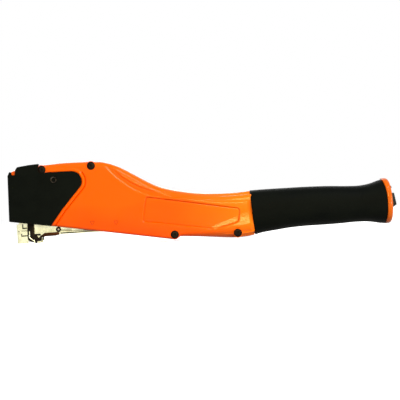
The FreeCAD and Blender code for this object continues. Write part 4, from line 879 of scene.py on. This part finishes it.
def moulded_rubber():
    """Moulded thermoplastic rubber: almost black, matt, with a fine leathery grain of about 0.8 mm."""
    material, tree, shader, place = surface("moulded_rubber", IOR=1.52, Specular_IOR_Level=0.03)
    patch = cloud(tree, place, 16, 4.0, 0.65, (0.6, 1.0, 1.0))
    grain = node(tree, "TexVoronoi", {"Vector": place, "Scale": 1 / (0.8 * MM)}, feature="SMOOTH_F1")
    finish(tree, shader, between(tree, patch, "#030504", "#0B0E0B", 0.3, 0.7), (patch, 0.52, 0.72),
           [(grain.outputs[0], 0.05), (cloud(tree, place, 0.5, 3.0), 0.02)])
    return material


def shadow_stripe(tree, place, x, z, slope, half):
    """A dark line of painted shade in the side view behind a point: the distance from the line against its
    half width.
    """
    along = node(tree, "SeparateXYZ", {"Vector": place})
    level = node(tree, "Math", {0: along.outputs["X"], 1: -slope, 2: -(z - slope * x) * MM},
                 operation="MULTIPLY_ADD")
    off = node(tree, "Math", {0: along.outputs["Z"], 1: level.outputs[0]}, operation="ADD")
    gap = node(tree, "Math", {0: off.outputs[0]}, operation="ABSOLUTE")
    share = node(tree, "MapRange", {"Value": gap.outputs[0], "From Min": half * 0.7 * MM,
                                    "From Max": half * 1.3 * MM, "To Min": 1.0, "To Max": 0.0})
    behind = node(tree, "Math", {0: along.outputs["X"], 1: x * MM}, operation="GREATER_THAN")
    ends = {0: share.outputs[0], 1: behind.outputs[0]}
    return node(tree, "Math", ends, operation="MULTIPLY").outputs[0]


def plain_metal(name, deep, pale, roughness, lines=(30.0, 1.0, 1.0), depth=0.003, shadow_stripes=(),
                shade_and_tint_colour="#15140F", **fixed):
    """Rolled, plated or ground steel: tones that vary a little, fine drawing lines, and a second colour:
    painted shade in slots and in dark lines along the tray, and the lever's own brown tint on the latch.

    lines gives how far the drawing lines run along each axis, for each of their widths of 0.35 mm.
    """
    material, tree, shader, place = surface(name, **{"Metallic": 1.0, **fixed})
    tone = between(tree, cloud(tree, place, 8, 4.0, 0.6), deep, pale)
    painted_shade_and_tint = node(tree, "Attribute", attribute_name="painted_shade_and_tint").outputs["Fac"]
    for line in shadow_stripes:
        pair = {0: painted_shade_and_tint, 1: shadow_stripe(tree, place, *line)}
        painted_shade_and_tint = node(tree, "Math", pair, operation="MAXIMUM").outputs[0]
    tinted = node(tree, "Mix", {0: painted_shade_and_tint, 6: tone, 7: linear(shade_and_tint_colour)}, data_type="RGBA").outputs[2]
    drawn = cloud(tree, place, 0.35, 3.0, 0.6, tuple(1 / k for k in lines))
    finish(tree, shader, tinted, (drawn, *roughness), [(drawn, depth)])
    return material


def cast_iron():
    """Cast iron weight: dark grey, grainy from the sand, dull."""
    material, tree, shader, place = surface("cast_iron", Metallic=0.8)
    tone = cloud(tree, place, 3, 6.0, 0.7)
    finish(tree, shader, between(tree, tone, "#2A2B2B", "#48494A"), (tone, 0.5, 0.75),
           [(cloud(tree, place, 0.8, 4.0), 0.06)])
    return material


def spark_eroded(name, deep, pale):
    """Black moulded plastic or rubber with the fine matt texture of a spark-eroded mould."""
    material, tree, shader, place = surface(name, IOR=1.5, Specular_IOR_Level=0.12)
    tone = cloud(tree, place, 10, 3.0)
    finish(tree, shader, between(tree, tone, deep, pale), (tone, 0.42, 0.55),
           [(cloud(tree, place, 0.3, 2.0), 0.01)])
    return material


ZINC_TONES, ZINC_DULL = ("#C2C1A0", "#E5E4C3"), (0.18, 0.34)
OXIDE_TONES, OXIDE_DULL = ("#0C0A09", "#1C1511"), (0.3, 0.46)
OXIDE_COAT = {"depth": 0.006, "Metallic": 0.35, "Specular_IOR_Level": 0.08}
EVEN = (1.0, 1.0, 1.0)

# Body orange: the pale tone is painted on the lit top, and the last is a painted golden highlight by the
# grip
GLOSS_ABS = moulded_abs("gloss_abs", "#F94400", "#FF6400", "#FB7A09")
RING_ABS = moulded_abs("ring_abs", "#CA540A", "#D25E0C", "#D0600C")
# Darker orange for the raised arrows: painted shade of their sides
SHADED_MARK_ABS = moulded_abs("mark_abs_painted_shade", "#D84000", "#E04E00", "#E04E00")
POWDER_COAT = powder_coat()
RUBBER = moulded_rubber()
ZINC_PLATE = plain_metal("zinc_plated_steel", *ZINC_TONES, ZINC_DULL)
# Zinc plate with two dark lines painted along the tray's side, as painted shade at its edges
LINE_SHADED_ZINC = plain_metal("zinc_plated_steel_painted_shade_lines", *ZINC_TONES, ZINC_DULL,
                         shadow_stripes=((36.5, 7.35, 0.012, 0.45), (37.0, 10.1, -0.06, 0.35)))
BLACK_OXIDE = plain_metal("black_oxide_steel", *OXIDE_TONES, OXIDE_DULL, **OXIDE_COAT)
GROUND_STEEL = plain_metal("ground_steel", "#A9A69E", "#C9C7C0", ZINC_DULL, (1.0, 1.0, 40.0))
BROWNED_STEEL = plain_metal("browned_steel", *OXIDE_TONES, OXIDE_DULL, shade_and_tint_colour="#3E1F0B", **OXIDE_COAT)
WORN_OXIDE = plain_metal("worn_black_oxide", "#15130F", "#565148", (0.18, 0.3), EVEN)
SPRING_WIRE = plain_metal("drawn_spring_wire", "#7E7A72", "#A9A59B", (0.25, 0.4), EVEN)
CAST_IRON = cast_iron()
BLACK_PLASTIC = spark_eroded("black_moulded_plastic", "#101211", "#1A1D1B")
BUMPER_RUBBER = spark_eroded("bumper_rubber", "#161616", "#232323")

# New pieces
# Handle halves; each point keeps its share of painted shade in the pressed lines
for side, name in ((-1, "left"), (1, "right")):
    solids, lines = shell(side)
    half = piece("handle_" + name, solids, "root", GLOSS_ABS, [name + "_shell"])
    note(half, "lines", lines)
guard = piece("guard_cover", [guard_sheet()], "root", POWDER_COAT, ["head_guard"], 50)
sheet = guard.modifiers.new("sheet", "SOLIDIFY")
sheet.thickness = 1.8 * MM
sheet.offset = -1
sheet.use_even_offset = True
soften(guard, "rims", 0.3, 55)
# The arrows take the darker orange, which is painted shade
piece("tray_marks", arrows(), "root", SHADED_MARK_ABS)
piece("hollow_rivet", rivet_solids(), "root", WORN_OXIDE, ["head_rivet"])
piece("socket_screws", screw_solids(), "root", BLACK_OXIDE, ["body_screws"])
solid, painted_shade_and_tint = nose_guide()
nose = piece("nose_guide", [solid], "magazine", ZINC_PLATE, ["nose_plate"])
# Painted shade darkens the pressed slots of the nose
note(nose, "painted_shade_and_tint", painted_shade_and_tint)
solids = latch_solids()
latch = piece("latch_bail", solids, "latch", BROWNED_STEEL, ["latch"])
# The latch's lever, behind the prongs, takes its own brown tint
note(latch, "painted_shade_and_tint", ease(np.concatenate([points for points, _ in solids])[:, 0], 18.5, 23.0))
piece("hook_wires", hook_solids(), "latch", ZINC_PLATE)
STUD_RING = [(1.6, 6.5), (2.25, 7.2), (2.3, 8.0), (2.1, 8.3), (1.3, 8.3), (1.0, 8.0), (1.0, 7.0)]
STUD_END = [(0.98, 7.0), (0.98, 7.9), (0.8, 8.05), (0.4, 8.1), (0.1, 8.1)]
rings, ends = ([turned(STUD, profile, side, 40) for side in (-1, 1)] for profile in (STUD_RING, STUD_END))
piece("ringed_studs", rings, "magazine", BLACK_OXIDE, ["locating_studs"])
piece("stud_ends", ends, "magazine", SPRING_WIRE)
coil = piece("return_coil", return_coil(), None, SPRING_WIRE, ["return_spring"])
piece("rubber_grip", grip_solids(), "root", RUBBER, ["grip_sleeve"], 60)
piece("butt_ring", cap_solids(), "root", RING_ABS, ["end_cap"])
piece("butt_door", door_solids(), "door", BLACK_PLASTIC, ["storage_door"])

# Finishes of the pieces that stay as the frame has them; all but the springs and their seat get
# finely broken edges
KEPT = (
    (LINE_SHADED_ZINC, "magazine_frame staple_tray"),
    (ZINC_PLATE, "nose_rivets catch_studs spring_seat tray_hinge_pin pivot_washers latch_spring"),
    (BLACK_OXIDE, "latch_pin body_nuts stop_pin door_pin"),
    (GROUND_STEEL, "driver_blade driver_pin pivot_pin staple_rail pusher pusher_rod rod_bracket"),
    (CAST_IRON, "hammer_block"), (SPRING_WIRE, "pusher_spring"), (BUMPER_RUBBER, "bumper"),
)
for metal, names in KEPT:
    for name in names.split():
        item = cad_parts[name]
        item.data.materials.clear()
        item.data.materials.append(metal)
        if "spring" not in name:
            item.modifiers.new("joined", "WELD").merge_threshold = 0.001 * MM
            soften(item, "broken_edges", 0.18, 40)

# The return coil bends between the head and the magazine's seat, and the pusher's spring shortens
# along its rod
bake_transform(coil)
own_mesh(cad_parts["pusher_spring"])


# Floor, light and camera

def seen_directly(tree):
    """1 where the eye, a reflection or glass sees the surface, and 0 where it only gets light from it."""
    path = node(tree, "LightPath")
    seen = path.outputs["Is Camera Ray"]
    for kind in ("Is Glossy Ray", "Is Transmission Ray"):
        seen = node(tree, "Math", {0: seen, 1: path.outputs[kind]}, operation="MAXIMUM").outputs[0]
    return seen, path


floor_level = (min(SHELL_LOW[2], -5.5) - 0.02) * MM
bpy.ops.mesh.primitive_plane_add(size=8, location=(0.16, 0, floor_level))
floor = bpy.context.object
floor.name = "floor"
paper, tree, shader, place = surface("white_paper", Roughness=0.9, Specular_IOR_Level=0.1,
                                     Emission_Color=(1, 1, 1, 1))
seen, path = seen_directly(tree)
tone = node(tree, "Mix", {0: path.outputs["Is Diffuse Ray"], 6: linear("#F4F4F4"), 7: linear("#7A7A7A")},
            data_type="RGBA")
tree.links.new(tone.outputs[2], shader.inputs["Base Color"])
glow = node(tree, "Math", {0: seen, 1: 0.68}, operation="MULTIPLY")
tree.links.new(glow.outputs[0], shader.inputs["Emission Strength"])
floor.data.materials.append(paper)

world = bpy.data.worlds.new("white_room")
bpy.context.scene.world = world
world.use_nodes = True
tree = world.node_tree
tree.nodes.clear()
strength = node(tree, "MapRange", {"Value": seen_directly(tree)[0], "To Min": 0.3, "To Max": 1.0})
shade = node(tree, "Background", {"Color": (1, 1, 1, 1), "Strength": strength.outputs[0]})
node(tree, "OutputWorld", {"Surface": shade.outputs[0]})


def softbox(name, place, target, size, watts, colour=(1.0, 1.0, 1.0)):
    """A rectangular lamp that faces a point."""
    data = bpy.data.lights.new(name, "AREA")
    data.color = colour
    data.shape = "RECTANGLE"
    data.size, data.size_y = size
    data.energy = watts
    lamp = bpy.data.objects.new(name, data)
    bpy.context.scene.collection.objects.link(lamp)
    lamp.location = place
    lamp.rotation_euler = (Vector(target) - Vector(place)).to_track_quat("-Z", "Y").to_euler()


# The low light is mirrored in the shelf of the lower flank, and the end light in the label's recess
MIDDLE = (0.16, 0.0, 0.03)
softbox("key_light", (0.65, -0.75, 0.75), MIDDLE, (0.5, 0.4), 9.5)
softbox("low_light", (0.235, -0.75, 0.19), (0.19, 0, 0.006), (0.2, 0.1), 2.8, (1.0, 0.78, 0.25))
softbox("end_light", (0.90, -0.47, 0.03), (0.12, 0, 0.025), (0.12, 0.12), 2.6)
softbox("back_light", (-0.1, 1.1, 0.7), MIDDLE, (1.0, 0.6), 11)

# The photograph looks along +Y from 1.2 m, with the magazine turned 3.3 degrees to the picture
ROLL = math.radians(3.3)
DISTANCE = 1.2
FRAME_WIDTH = 0.3578
AIM = Vector((0.16344, 0, 0.02995))
camera_data = bpy.data.cameras.new("camera")
camera = bpy.data.objects.new("camera", camera_data)
bpy.context.scene.collection.objects.link(camera)
right = Vector((math.cos(ROLL), 0, -math.sin(ROLL)))
up = Vector((math.sin(ROLL), 0, math.cos(ROLL)))
back = Vector((0, -1, 0))
turn = Matrix((right, up, back)).transposed().to_4x4()
camera.matrix_world = Matrix.Translation(AIM + back * DISTANCE) @ turn
camera_data.sensor_width = 36
camera_data.lens = camera_data.sensor_width * (DISTANCE - BODY_HALF * MM) / FRAME_WIDTH
bpy.context.scene.camera = camera
bpy.context.scene.view_settings.view_transform = "Standard"
